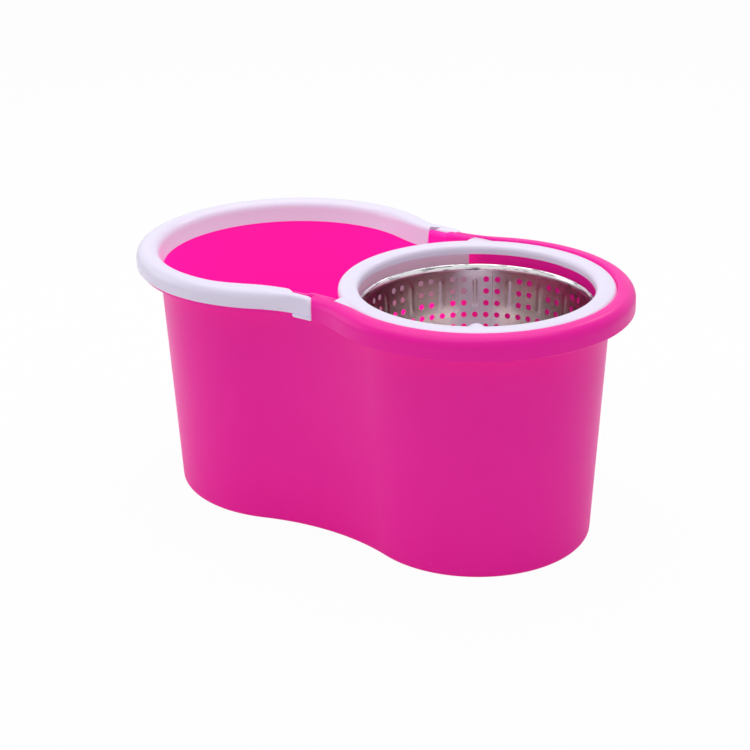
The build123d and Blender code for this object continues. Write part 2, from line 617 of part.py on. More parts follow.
def hub_screws():
    """Screws through the plate and the basket's floor into the hub."""
    shanks = screw_shapes(SCREW_RADIUS, PLATE_LOW_Z - 1, PLATE_LOW_Z + SCREW_LENGTH)
    heads = screw_shapes(SCREW_HEAD_RADIUS, PLATE_LOW_Z - SCREW_HEAD_HEIGHT, PLATE_LOW_Z)
    return Compound([head + shank for head, shank in zip(heads, shanks)])


# ---- spindle -------------------------------------------------------------------------------
def spindle_shaft():
    """Fixed spindle with a collar, a groove for the clip and chamfered ends."""
    bottom = NUT_TOP_Z - NUT_HEIGHT - SPINDLE_TAIL
    groove_top = CLIP_LOW_Z + CLIP_THICKNESS + 2 * FIT
    top = groove_top + SHAFT_END
    radius = SPINDLE_RADIUS
    groove = radius - CLIP_GROOVE
    tip = radius - SHAFT_CHAMFER
    return turned(
        (0, bottom), (tip, bottom), (radius, bottom + SHAFT_CHAMFER),
        (radius, COLLAR_LOW_Z), (COLLAR_RADIUS, COLLAR_LOW_Z), (COLLAR_RADIUS, COLLAR_TOP_Z),
        (radius, COLLAR_TOP_Z), (radius, CLIP_LOW_Z), (groove, CLIP_LOW_Z),
        (groove, groove_top), (radius, groove_top), (radius, top - SHAFT_CHAMFER), (tip, top), (0, top),
    )


def on_spindle(outer, low, high):
    """Ring that slides onto the spindle."""
    return tube(outer, SPINDLE_RADIUS + FIT, low, high)


def spindle_nut():
    """Hexagon nut under the tower's top."""
    hexagon = RegularPolygon(NUT_FLATS / 2, 6, major_radius=False)
    nut = extrude(Pos(SPIN_X, 0, NUT_TOP_Z - NUT_HEIGHT) * hexagon, NUT_HEIGHT)
    return nut - disc(SPINDLE_RADIUS + FIT, 0, HEIGHT)


def retaining_ring():
    """Clip in the spindle's groove, with its mouth towards +X."""
    low = CLIP_LOW_Z + FIT
    clip = tube(CLIP_RADIUS, SPINDLE_RADIUS - CLIP_GROOVE + FIT, low, low + CLIP_THICKNESS)
    return clip - slab(SPIN_X, BIG, -CLIP_MOUTH / 2, CLIP_MOUTH / 2, 0, HEIGHT)


# ---- ball bearings -------------------------------------------------------------------------
def race_groove(low):
    """Torus that the balls run in, a little larger than the balls."""
    return Pos(SPIN_X, 0, low + BEARING_WIDTH / 2) * Torus(BALL_CIRCLE, BALL_RADIUS + RACE_CLEARANCE)


def bearing_inner_ring(low):
    """Inner ring with its race."""
    return on_spindle(INNER_RING_RADIUS, low, low + BEARING_WIDTH) - race_groove(low)


def bearing_outer_ring(low):
    """Outer ring with its race."""
    return tube(BEARING_RADIUS, OUTER_RING_BORE, low, low + BEARING_WIDTH) - race_groove(low)


def ball_shapes(low, radius):
    """One sphere at each ball's place."""
    middle = Pos(SPIN_X, 0, low + BEARING_WIDTH / 2)
    return [
        middle * Rot(0, 0, 360 * k / BALL_COUNT) * Pos(BALL_CIRCLE, 0, 0) * Sphere(radius)
        for k in range(BALL_COUNT)
    ]


def bearing_cage(low):
    """Crown cage: a ring over the balls with a pocket down round each."""
    middle = low + BEARING_WIDTH / 2
    outer = BALL_CIRCLE + CAGE_HALF_WIDTH
    inner = BALL_CIRCLE - CAGE_HALF_WIDTH
    ring = tube(outer, inner, middle - CAGE_BELOW, middle + CAGE_ABOVE)
    return ring - ball_shapes(low, BALL_RADIUS + RACE_CLEARANCE)


if __name__ == "__main__":
    os.makedirs("parts", exist_ok=True)
    ring = splash_ring()
    nodes = {
        "bucket_body": bucket_body(),
        "spindle_tower": spindle_tower(),
        "carry_handle": carry_handle(),
        "splash_ring": ring,
        "splash_skirt": splash_skirt(ring),
        "basket_wall": basket_wall(),
        "basket_floor": basket_floor(),
        "hub_column": hub_column(),
        "hub_cap": hub_cap(),
        "hub_clamp_plate": hub_clamp_plate(),
        "hub_screws": hub_screws(),
        "spindle_shaft": spindle_shaft(),
        "spindle_gasket": on_spindle(GASKET_RADIUS, TOWER_TOP_Z, COLLAR_LOW_Z),
        "spindle_washer": on_spindle(WASHER_RADIUS, NUT_TOP_Z, TOWER_CEILING_Z),
        "spindle_nut": spindle_nut(),
        "thrust_washer": on_spindle(THRUST_RADIUS, COLLAR_TOP_Z, LOWER_BEARING_Z),
        "bearing_spacer": on_spindle(THRUST_RADIUS, LOWER_BEARING_Z + BEARING_WIDTH, UPPER_BEARING_Z),
        "retaining_ring": retaining_ring(),
    }
    for name, low in (("lower", LOWER_BEARING_Z), ("upper", UPPER_BEARING_Z)):
        nodes[name + "_bearing_inner_ring"] = bearing_inner_ring(low)
        nodes[name + "_bearing_outer_ring"] = bearing_outer_ring(low)
        nodes[name + "_bearing_balls"] = Compound(ball_shapes(low, BALL_RADIUS))
        nodes[name + "_bearing_cage"] = bearing_cage(low)
    for name, solid in nodes.items():
        export_step(solid, f"parts/{name}.step")
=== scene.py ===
"""Figure-of-eight spin mop bucket: the looks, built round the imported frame. Metres, +Z up."""

import json
import logging
import math
from dataclasses import dataclass, replace
from enum import Enum

import bmesh
import bpy
import numpy as np
from mathutils import Matrix, Vector

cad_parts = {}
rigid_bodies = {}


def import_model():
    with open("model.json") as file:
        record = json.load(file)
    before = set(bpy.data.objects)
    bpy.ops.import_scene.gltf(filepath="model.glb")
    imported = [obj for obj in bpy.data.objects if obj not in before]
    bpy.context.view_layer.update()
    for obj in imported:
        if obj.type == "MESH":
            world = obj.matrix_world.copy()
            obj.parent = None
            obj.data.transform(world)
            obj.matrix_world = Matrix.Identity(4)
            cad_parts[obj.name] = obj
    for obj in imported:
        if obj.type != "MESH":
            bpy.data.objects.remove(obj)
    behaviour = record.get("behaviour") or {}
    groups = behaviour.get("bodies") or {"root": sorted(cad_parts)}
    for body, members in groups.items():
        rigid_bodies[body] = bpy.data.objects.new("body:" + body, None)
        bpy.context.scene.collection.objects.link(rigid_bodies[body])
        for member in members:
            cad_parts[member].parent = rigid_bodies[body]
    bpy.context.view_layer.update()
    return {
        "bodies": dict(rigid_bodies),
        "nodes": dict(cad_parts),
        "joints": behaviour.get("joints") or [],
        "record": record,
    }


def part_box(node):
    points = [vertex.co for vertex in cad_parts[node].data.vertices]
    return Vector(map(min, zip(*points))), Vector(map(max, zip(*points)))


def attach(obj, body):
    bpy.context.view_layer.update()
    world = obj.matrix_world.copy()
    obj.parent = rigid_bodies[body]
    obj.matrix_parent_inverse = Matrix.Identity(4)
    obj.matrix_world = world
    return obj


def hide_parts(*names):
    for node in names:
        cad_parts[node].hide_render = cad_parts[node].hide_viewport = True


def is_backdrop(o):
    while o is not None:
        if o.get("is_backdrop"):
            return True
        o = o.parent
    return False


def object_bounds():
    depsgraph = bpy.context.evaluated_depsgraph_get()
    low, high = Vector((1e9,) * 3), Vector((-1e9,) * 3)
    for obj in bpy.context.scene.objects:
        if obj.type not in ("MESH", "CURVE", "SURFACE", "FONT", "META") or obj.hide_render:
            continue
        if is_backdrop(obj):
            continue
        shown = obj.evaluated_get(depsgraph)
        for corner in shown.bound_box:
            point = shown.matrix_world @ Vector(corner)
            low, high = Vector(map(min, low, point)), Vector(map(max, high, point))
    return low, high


LOG = logging.getLogger("spin_mop_bucket")
MM = 0.001
TAU = 2.0 * math.pi
WELD = 1e-6
SHEET_SHARP = 50.0  # degrees from which a sheet's edge is a cut edge
BEVEL_FROM = 40.0  # degrees from which a moulding's edge is rounded


# ---- outlines --------------------------------------------------------------------------------
@dataclass(frozen=True)
class FigureEight:
    """Outline of two round lobes joined by hollow arcs that are tangent to both.

    The parameter t runs anticlockwise: 0 to 1 round the spinning lobe, 1 to 2 along the +Y waist,
    2 to 3 round the washing lobe and 3 to 4 back along the -Y waist.
    """

    wash_radius: float
    spin_radius: float
    waist_radius: float
    wash_x: float
    spin_x: float

    def inset(self, depth: float) -> "FigureEight":
        """The parallel outline that lies further in by depth."""
        return FigureEight(
            self.wash_radius - depth, self.spin_radius - depth, self.waist_radius + depth,
            self.wash_x, self.spin_x,
        )

    @property
    def waist(self) -> tuple[float, float]:
        """Centre of the hollow arc on the +Y side."""
        span = self.spin_x - self.wash_x
        to_wash = self.wash_radius + self.waist_radius
        to_spin = self.spin_radius + self.waist_radius
        along = (to_wash**2 - to_spin**2 + span**2) / (2.0 * span)
        return self.wash_x + along, math.sqrt(to_wash**2 - along**2)

    def _turns(self) -> tuple[float, float]:
        """Directions, seen from the hollow arc's centre, of the spinning and the washing lobe."""
        x, y = self.waist
        return math.atan2(-y, self.spin_x - x), math.atan2(-y, self.wash_x - x)

    def points(self, t: np.ndarray) -> np.ndarray:
        """Places on the outline: each quarter is centre + radius * (cos angle, sin angle).

        Args:
            t: Parameters of any shape, taken modulo 4.

        Returns:
            An array of the same shape with a last axis of x and y.
        """
        t = np.mod(np.asarray(t, float), 4.0)
        lower = t > 3.0
        s = np.where(lower, 5.0 - t, t)
        x, y = self.waist
        to_spin, to_wash = self._turns()
        spin_turn = math.pi + to_spin
        wash_turn = math.pi + to_wash
        on_spin = s < 1.0
        on_wash = (s >= 2.0) & ~lower
        angle = to_spin + (to_wash - to_spin) * (s - 1.0)
        angle = np.where(on_spin, spin_turn * (2.0 * s - 1.0), angle)
        angle = np.where(on_wash, wash_turn + (TAU - 2.0 * wash_turn) * (s - 2.0), angle)
        radius = np.where(on_spin, self.spin_radius, np.where(on_wash, self.wash_radius, self.waist_radius))
        centre_x = np.where(on_spin, self.spin_x, np.where(on_wash, self.wash_x, x))
        centre_y = np.where(on_spin | on_wash, 0.0, y)
        px = centre_x + radius * np.cos(angle)
        py = centre_y + radius * np.sin(angle)
        return np.stack([px, np.where(lower, -py, py)], -1)

    def t_at(self, x: np.ndarray) -> np.ndarray:
        """Parameter of the +Y waist at a given x: the arc's angle is minus arccos((x - centre) / radius)."""
        centre_x, _ = self.waist
        to_spin, to_wash = self._turns()
        angle = -np.arccos((np.asarray(x, float) - centre_x) / self.waist_radius)
        return 1.0 + (to_spin - angle) / (to_spin - to_wash)

    def y_at(self, x: np.ndarray) -> np.ndarray:
        """Half width of the waist at a given x."""
        centre_x, centre_y = self.waist
        return centre_y - np.sqrt(self.waist_radius**2 - (np.asarray(x, float) - centre_x) ** 2)


@dataclass(frozen=True)
class Datum:
    """Overall sizes and places of the object, read from the frame."""

    length: float
    height: float
    wash_radius: float
    spin_radius: float
    spin_x: float
    hinge_x: float
    hinge_z: float
    waist_radius: float = 95.0 * MM
    tub_inset: float = 19.5 * MM
    tub_waist: float = 180.0 * MM
    foot_wash: float = 9.0 * MM
    foot_spin: float = 12.5 * MM
    foot_waist: float = 200.0 * MM
    foot_shift: float = 3.0 * MM
    well: float = 15.0 * MM
    ledge_depth: float = 7.0 * MM
    rim_depth: float = 19.0 * MM
    flange_depth: float = 17.3 * MM
    tongue_wall: float = 5.0 * MM
    hinge_gap: float = 0.5 * MM
    arm_end: float = 20.0 * MM
    ear_reach: float = 11.8 * MM
    ear_corner: float = 8.5 * MM
    tab_reach: float = 28.8 * MM
    tab_recess: float = 3.2 * MM
    tab_blend: float = 30.0 * MM

    @classmethod
    def from_frame(cls, frame: dict) -> "Datum":
        """Reads the bounds, the spin axis and the handle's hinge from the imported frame."""
        low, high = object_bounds()
        joints = {joint["name"]: joint for joint in frame["joints"]}
        spin_x = joints["basket_spin"]["pos_m"][0]
        hinge = joints["handle_swing"]["pos_m"]
        return cls(
            length=high[0] - low[0], height=high[2] - low[2], wash_radius=high[1],
            spin_radius=high[0] - spin_x, spin_x=spin_x, hinge_x=hinge[0], hinge_z=hinge[2],
        )

    @property
    def wash_x(self) -> float:
        """Centre of the washing lobe."""
        return -self.length / 2.0 + self.wash_radius

    @property
    def ledge_z(self) -> float:
        """Height of the ledge under the splash ring."""
        return self.height - self.ledge_depth

    @property
    def flange_z(self) -> float:
        """Height of the flange that carries the handle."""
        return self.height - self.flange_depth

    @property
    def rim_low_z(self) -> float:
        """Height of the rim band's lower edge."""
        return self.height - self.rim_depth

    @property
    def hinge_face_y(self) -> float:
        """Flat outer face of the hinge tongues."""
        centre_x, _ = self.rim(self.well).waist
        return float(self.rim(self.well).y_at(centre_x)) + self.tongue_wall

    def rim(self, inset: float) -> FigureEight:
        """Rim outline, moved in by the inset."""
        return FigureEight(
            self.wash_radius, self.spin_radius, self.waist_radius, self.wash_x, self.spin_x
        ).inset(inset)

    def tub(self, inset: float) -> FigureEight:
        """Outline of the tub's wall at the ledge, moved in by the inset."""
        return FigureEight(
            self.wash_radius - self.tub_inset, self.spin_radius - self.tub_inset, self.tub_waist,
            self.wash_x, self.spin_x,
        ).inset(inset)

    def foot(self, inset: float) -> FigureEight:
        """Outline of the tub at the floor, moved in by the inset."""
        return FigureEight(
            self.wash_radius - self.tub_inset - self.foot_wash,
            self.spin_radius - self.tub_inset - self.foot_spin,
            self.foot_waist, self.wash_x + self.foot_shift, self.spin_x,
        ).inset(inset)

    @property
    def tab_x(self) -> float:
        """Where the splash ring's tabs end and the waist begins."""
        return self.hinge_x + self.tab_reach

    def near_tab(self, x: np.ndarray) -> np.ndarray:
        """1 at the tips of the splash ring's tabs, falling smoothly to 0 further round the rim."""
        share = np.clip((self.tab_x + self.tab_blend - x) / self.tab_blend, 0.0, 1.0)
        return share**2 * (3.0 - 2.0 * share)

    def seat(self, outline: FigureEight, t: np.ndarray) -> np.ndarray:
        """Points of an outline round the splash ring's seat, which widens towards the tabs' tips."""
        place, wide = outline.points(t), outline.inset(-self.tab_recess).points(t)
        return place + (wide - place) * self.near_tab(place[..., :1])

    def around_spin(self, radius: np.ndarray, z: np.ndarray, angle: np.ndarray) -> np.ndarray:
        """Cylinder coordinates about the spin axis made into x, y, z."""
        radius, z, angle = np.broadcast_arrays(radius, z, angle)
        return np.stack([self.spin_x + radius * np.cos(angle), radius * np.sin(angle), z], -1)


# ---- meshes ----------------------------------------------------------------------------------
class Skin:
    """Collects point grids and loops, and makes one mesh object of them."""

    def __init__(self, name: str) -> None:
        """Starts an empty skin for the piece of that name."""
        self.name = name
        self.points: list[np.ndarray] = []
        self.faces: list[list[int]] = []
        self.count = 0

    def _add(self, points: np.ndarray) -> int:
        """Stores points and returns the index of the first."""
        first = self.count
        self.points.append(points.reshape(-1, 3))
        self.count += points.size // 3
        return first

    def grid(self, points: np.ndarray, wrap_rows: bool = False, wrap_columns: bool = False) -> int:
        """Adds quads between neighbours of a rows-by-columns grid.

        Args:
            points: Array of rows, columns and x, y, z.
            wrap_rows: Joins the last row to the first.
            wrap_columns: Joins the last column to the first.

        Returns:
            The index of the grid's first vertex.
        """
        rows, columns = points.shape[:2]
        first = self._add(points)
        i = np.arange(rows if wrap_rows else rows - 1)[:, None]
        j = np.arange(columns if wrap_columns else columns - 1)[None, :]
        below, right = (i + 1) % rows, (j + 1) % columns
        quads = np.stack(np.broadcast_arrays(
            i * columns + j, i * columns + right, below * columns + right, below * columns + j), -1)
        self.faces.extend((quads.reshape(-1, 4) + first).tolist())
        return first

    def sweep(self, stations: np.ndarray) -> None:
        """Adds a closed section carried through stations, with a flat cap at each end.

        Args:
            stations: Array of stations, section points and x, y, z.
        """
        first = self.grid(stations, wrap_columns=True)
        count, section = stations.shape[:2]
        self.faces.append(list(range(first, first + section)))
        last = first + (count - 1) * section
        self.faces.append(list(range(last + section - 1, last - 1, -1)))

    def piece(self, sharp: float = 35.0) -> bpy.types.Object:
        """Makes the mesh object: welds doubles, turns normals outwards and marks sharp edges.

        Args:
            sharp: Edges that turn by more degrees than this stay sharp.

        Returns:
            The new object, linked to the scene.
        """
        mesh = bpy.data.meshes.new(self.name)
        mesh.from_pydata(np.concatenate(self.points).tolist(), [], self.faces)
        work = bmesh.new()
        work.from_mesh(mesh)
        bmesh.ops.remove_doubles(work, verts=work.verts, dist=WELD)
        bmesh.ops.recalc_face_normals(work, faces=work.faces)
        work.to_mesh(mesh)
        work.free()
        mesh.polygons.foreach_set("use_smooth", np.ones(len(mesh.polygons), bool))
        mesh.set_sharp_from_angle(angle=math.radians(sharp))
        piece = bpy.data.objects.new(self.name, mesh)
        bpy.context.scene.collection.objects.link(piece)
        return piece


def arc(centre: tuple[float, float], radius: float, start: float, stop: float, count: int) -> np.ndarray:
    """Points of a circular arc: centre + radius * (cos, sin), from start to stop in degrees."""
    turn = np.radians(np.linspace(start, stop, count))
    return np.stack([centre[0] + radius * np.cos(turn), centre[1] + radius * np.sin(turn)], -1)


def arc_through(a: tuple[float, float], b: tuple[float, float], c: tuple[float, float],
                count: int) -> np.ndarray:
    """Points of the circle through three points, from a by way of b to c.

    The centre solves the two equations of equal distance from a, b and c.
    """
    matrix = 2.0 * np.array([[b[0] - a[0], b[1] - a[1]], [c[0] - b[0], c[1] - b[1]]])
    squares = [p[0] ** 2 + p[1] ** 2 for p in (a, b, c)]
    centre = np.linalg.solve(matrix, [squares[1] - squares[0], squares[2] - squares[1]])
    angles = np.unwrap([math.atan2(p[1] - centre[1], p[0] - centre[0]) for p in (a, b, c)])
    turn = np.linspace(angles[0], angles[2], count)
    radius = math.hypot(a[0] - centre[0], a[1] - centre[1])
    return np.stack([centre[0] + radius * np.cos(turn), centre[1] + radius * np.sin(turn)], -1)


def bevelled(piece: bpy.types.Object, width: float) -> bpy.types.Object:
    """Rounds a piece's sharp edges a little, as moulded plastic is."""
    bevel = piece.modifiers.new("edge_round", "BEVEL")
    bevel.width = width
    bevel.segments = 2
    bevel.limit_method = "ANGLE"
    bevel.angle_limit = math.radians(BEVEL_FROM)
    bevel.use_clamp_overlap = True
    bevel.harden_normals = False
    return piece


def thickened(piece: bpy.types.Object, thickness: float) -> bpy.types.Object:
    """Gives a sheet its thickness, half to each side, and keeps its cut edges sharp."""
    solid = piece.modifiers.new("sheet_thickness", "SOLIDIFY")
    solid.thickness = thickness
    solid.offset = 0.0
    mesh = bpy.data.meshes.new_from_object(piece.evaluated_get(bpy.context.evaluated_depsgraph_get()))
    mesh.set_sharp_from_angle(angle=math.radians(SHEET_SHARP))
    piece.modifiers.clear()
    piece.data = mesh
    return piece


# ---- shader graphs ---------------------------------------------------------------------------
class Signal:
    """A number that flows between shader nodes, written with plain operators."""

    def __init__(self, graph: "Graph", socket: bpy.types.NodeSocket) -> None:
        """Wraps one output socket of the graph."""
        self.graph = graph
        self.socket = socket

    def _math(self, operation: str, *values: "Signal | float") -> "Signal":
        """One Math node on the given values, in their order."""
        return self.graph.node("ShaderNodeMath", {"operation": operation}, dict(enumerate(values)))

    def __add__(self, other: "Signal | float") -> "Signal":
        """self + other."""
        return self._math("ADD", self, other)

    __radd__ = __add__

    def __mul__(self, other: "Signal | float") -> "Signal":
        """self * other."""
        return self._math("MULTIPLY", self, other)

    __rmul__ = __mul__

    def __sub__(self, other: "Signal | float") -> "Signal":
        """self - other."""
        return self._math("SUBTRACT", self, other)

    def __rsub__(self, other: float) -> "Signal":
        """other - self."""
        return self._math("SUBTRACT", other, self)

    def __pow__(self, other: float) -> "Signal":
        """self to the power other."""
        return self._math("POWER", self, other)

    def between(self, low: float, high: float) -> "Signal":
        """Rises smoothly from 0 at low to 1 at high."""
        inputs = {"Value": self, "From Min": low, "From Max": high, "To Min": 0.0, "To Max": 1.0}
        return self.graph.node("ShaderNodeMapRange", {"interpolation_type": "SMOOTHSTEP"}, inputs)

    def around(self, middle: float, reach: float) -> "Signal":
        """1 at the middle, falling to 0 at the reach on both sides."""
        return 1.0 - self._math("ABSOLUTE", self - middle).between(0.0, reach)


class Graph:
    """Builds the node tree of one material or of the world."""

    def __init__(self, owner: bpy.types.ID, output: str = "ShaderNodeOutputMaterial") -> None:
        """Empties the owner's node tree and gives it an output node."""
        self.owner = owner
        self.owner.use_nodes = True
        self.tree = self.owner.node_tree
        self.tree.nodes.clear()
        self.output = self.tree.nodes.new(output)

    def node(self, kind: str, settings: dict | None = None, inputs: dict | None = None,
             output: int | str = 0) -> Signal:
        """Adds one node.

        Args:
            kind: The node's type.
            settings: Properties that are set first, such as a Math node's operation.
            inputs: Values or signals by socket name or number.
            output: Which output to return.

        Returns:
            The chosen output as a signal.
        """
        node = self.tree.nodes.new(kind)
        for key, value in (settings or {}).items():
            setattr(node, key, value)
        for key, value in (inputs or {}).items():
            if isinstance(value, Signal):
                self.tree.links.new(value.socket, node.inputs[key])
            else:
                node.inputs[key].default_value = value
        return Signal(self, node.outputs[output])

    def place(self, scale: tuple[float, float, float] = (1.0, 1.0, 1.0)) -> Signal:
        """Object coordinates, scaled."""
        inputs = {"Vector": self.node("ShaderNodeTexCoord", output="Object"), "Scale": scale}
        return self.node("ShaderNodeMapping", {"vector_type": "POINT"}, inputs)

    def axis(self, name: str) -> Signal:
        """One of the object coordinates, in metres."""
        coordinates = self.node("ShaderNodeTexCoord", output="Object")
        return self.node("ShaderNodeSeparateXYZ", None, {0: coordinates}, name)

    def noise(self, scale: float, detail: float = 2.0, vector: Signal | None = None,
              roughness: float = 0.5) -> Signal:
        """Fractal noise from 0 to 1."""
        where = vector or self.place()
        inputs = {"Vector": where, "Scale": scale, "Detail": detail, "Roughness": roughness}
        return self.node("ShaderNodeTexNoise", None, inputs, "Fac")

    def mix(self, factor: Signal | float, a: Signal | tuple, b: Signal | tuple) -> Signal:
        """Colour a blended towards colour b."""
        return self.node("ShaderNodeMix", {"data_type": "RGBA"}, {0: factor, 6: a, 7: b}, 2)

    def bump(self, height: Signal, distance: float, strength: float = 1.0) -> Signal:
        """Normal bent by a height in metres times the distance."""
        inputs = {"Height": height, "Distance": distance, "Strength": strength}
        return self.node("ShaderNodeBump", None, inputs)

    def surface(self, shader: Signal) -> bpy.types.ID:
        """Ends the graph in a shader and returns the material or world."""
        self.tree.links.new(shader.socket, self.output.inputs["Surface"])
        return self.owner

    def finish(self, **inputs: Signal | float | tuple) -> bpy.types.Material:
        """Ends the graph in a Principled shader; names use underscores for spaces."""
        named = {key.replace("_", " "): value for key, value in inputs.items()}
        return self.surface(self.node("ShaderNodeBsdfPrincipled", None, named))


def colour(red: float, green: float, blue: float) -> tuple[float, float, float, float]:
    """Linear colour with full alpha."""
    return red, green, blue, 1.0


@dataclass(frozen=True)
class Moulding:
    """Gloss moulded polypropylene: faint sink marks, flow shade, fine grain and handling scuffs, with painted
    light as emission and, below a given height, a painted shade.
    """

    name: str
    base: tuple[float, float, float, float]
    deep: tuple[float, float, float, float]
    scuff: tuple[float, float, float, float]
    gloss: float
    sheen: float
    painted_glow: tuple[float, float, float, float]
    painted_bowl_glow: tuple[float, float, float, float]
    thin_or_painted_shade: tuple[float, float, float, float]
    painted_shade_top: float
    scuff_top: float

    def build(self) -> bpy.types.Material:
        """Makes the material; below a given height the colour turns to a painted shade colour, and painted
        light is added as emission, stronger where the bowl attribute is set.
        """
        g = Graph(bpy.data.materials.new(self.name))
        flow = g.noise(5.0, 3.0, g.place((1.0, 1.0, 0.35)))
        height = g.axis("Z")
        solid = g.mix(flow.between(0.3, 0.75) * 0.55, self.base, self.deep)
        # painted shade: below the given top height the colour turns to the painted shade colour
        shade = g.mix(height.between(self.painted_shade_top - 6.0 * MM, self.painted_shade_top), self.thin_or_painted_shade, solid)
        # painted light: the bowl attribute raises the emission on the washing lobe's inside, standing in for
        # light falling into it
        bowl = g.node("ShaderNodeAttribute", {"attribute_name": "bowl"}, output="Fac")
        painted_glow = g.mix(bowl, self.painted_glow, self.painted_bowl_glow)
        low_wear = 1.0 - height.between(0.0, self.scuff_top)
        scratches = g.noise(60.0, 5.0, g.place((1.0, 1.0, 7.0)), 0.65).between(0.62, 0.72)
        wear = scratches * low_wear
        tone = g.mix(wear * 0.35, shade, self.scuff)
        smear = g.noise(22.0, 4.0).between(0.35, 0.8)
        rough = self.gloss + smear * 0.06 + wear * 0.2
        grain = g.noise(900.0, 1.0) * 0.04 + g.noise(14.0, 1.5) * 1.0
        normal = g.bump(grain, 0.00025, 0.35)
        return g.finish(Base_Color=tone, Roughness=rough, Normal=normal, IOR=1.49,
                        Specular_IOR_Level=self.sheen, Emission_Color=painted_glow, Emission_Strength=1.0)


class Grain(Enum):
    """Which way a steel surface was worked."""

    UPRIGHT = "upright"
    ROUND = "round"


@dataclass(frozen=True)
class Steel:
    """Worked steel: fine lines, cloudy polish, small drying spots and a weld at one direction.

    The seam is an angle about the axis; a seam past pi gives none. Above polish_z the sheet is
    burnished, and painted reflection lies on it, white with long dark lines round it.
    """

    name: str
    base: tuple[float, float, float, float]
    dull: tuple[float, float, float, float]
    roughness: float
    spread: float
    grain: Grain
    line_depth: float
    centre_x: float
    seam: float = 4.0
    polish_z: float = 1.0

    def build(self) -> bpy.types.Material:
        """Makes the material."""
        g = Graph(bpy.data.materials.new(self.name))
        x = g.axis("X") - self.centre_x
        y = g.axis("Y")
        radius = (x * x + y * y) ** 0.5
        angle = g.node("ShaderNodeMath", {"operation": "ARCTAN2"}, {0: y, 1: x})
        if self.grain is Grain.UPRIGHT:
            where = g.node("ShaderNodeCombineXYZ", None, {0: angle * 9.0, 1: radius, 2: g.axis("Z") * 1.2})
        else:
            where = g.node("ShaderNodeCombineXYZ", None, {0: radius * 90.0, 1: g.axis("Z") * 90.0, 2: 0.0})
        lines = g.noise(12.0, 6.0, where, 0.7)
        clouds = g.noise(16.0, 3.0)
        spots = g.noise(160.0, 2.0).between(0.68, 0.76)
        weld = angle.around(self.seam, 0.006)
        # painted reflection: above polish_z the hem's colour turns white with long dark lines, standing in
        # for reflected surroundings
        polish_and_reflection_band = g.axis("Z").between(self.polish_z - 0.5 * MM, self.polish_z + 0.5 * MM)
        round_it = g.node("ShaderNodeCombineXYZ", None, {0: angle * 3.0, 1: 0.0, 2: g.axis("Z") * 450.0})
        reflection_streaks = g.noise(1.6, 4.0, round_it, 0.6).between(0.52, 0.64)
        worn = g.mix(clouds.between(0.35, 0.8) * 0.4 + spots * 0.15 + weld * 0.6, self.base, self.dull)
        painted_reflection = g.mix(reflection_streaks, colour(1.0, 1.0, 1.0), colour(0.22, 0.20, 0.22))
        tone = g.mix(polish_and_reflection_band, worn, painted_reflection)
        rough = self.roughness + lines * self.spread + clouds * 0.03 + spots * 0.06
        normal = g.bump(lines - weld, self.line_depth, 0.5)
        return g.finish(Base_Color=tone, Metallic=1.0, Roughness=rough, Normal=normal)


@dataclass(frozen=True)
class Rubber:
    """Matt black sealing rubber with a dusty bloom."""

    name: str = "gasket_rubber"

    def build(self) -> bpy.types.Material:
        """Makes the material."""
        g = Graph(bpy.data.materials.new(self.name))
        bloom = g.noise(300.0, 4.0)
        tone = g.mix(bloom.between(0.4, 0.8) * 0.4, colour(0.012, 0.012, 0.013), colour(0.05, 0.05, 0.052))
        return g.finish(Base_Color=tone, Roughness=0.62 + bloom * 0.2, Normal=g.bump(bloom, 0.0001, 0.5))


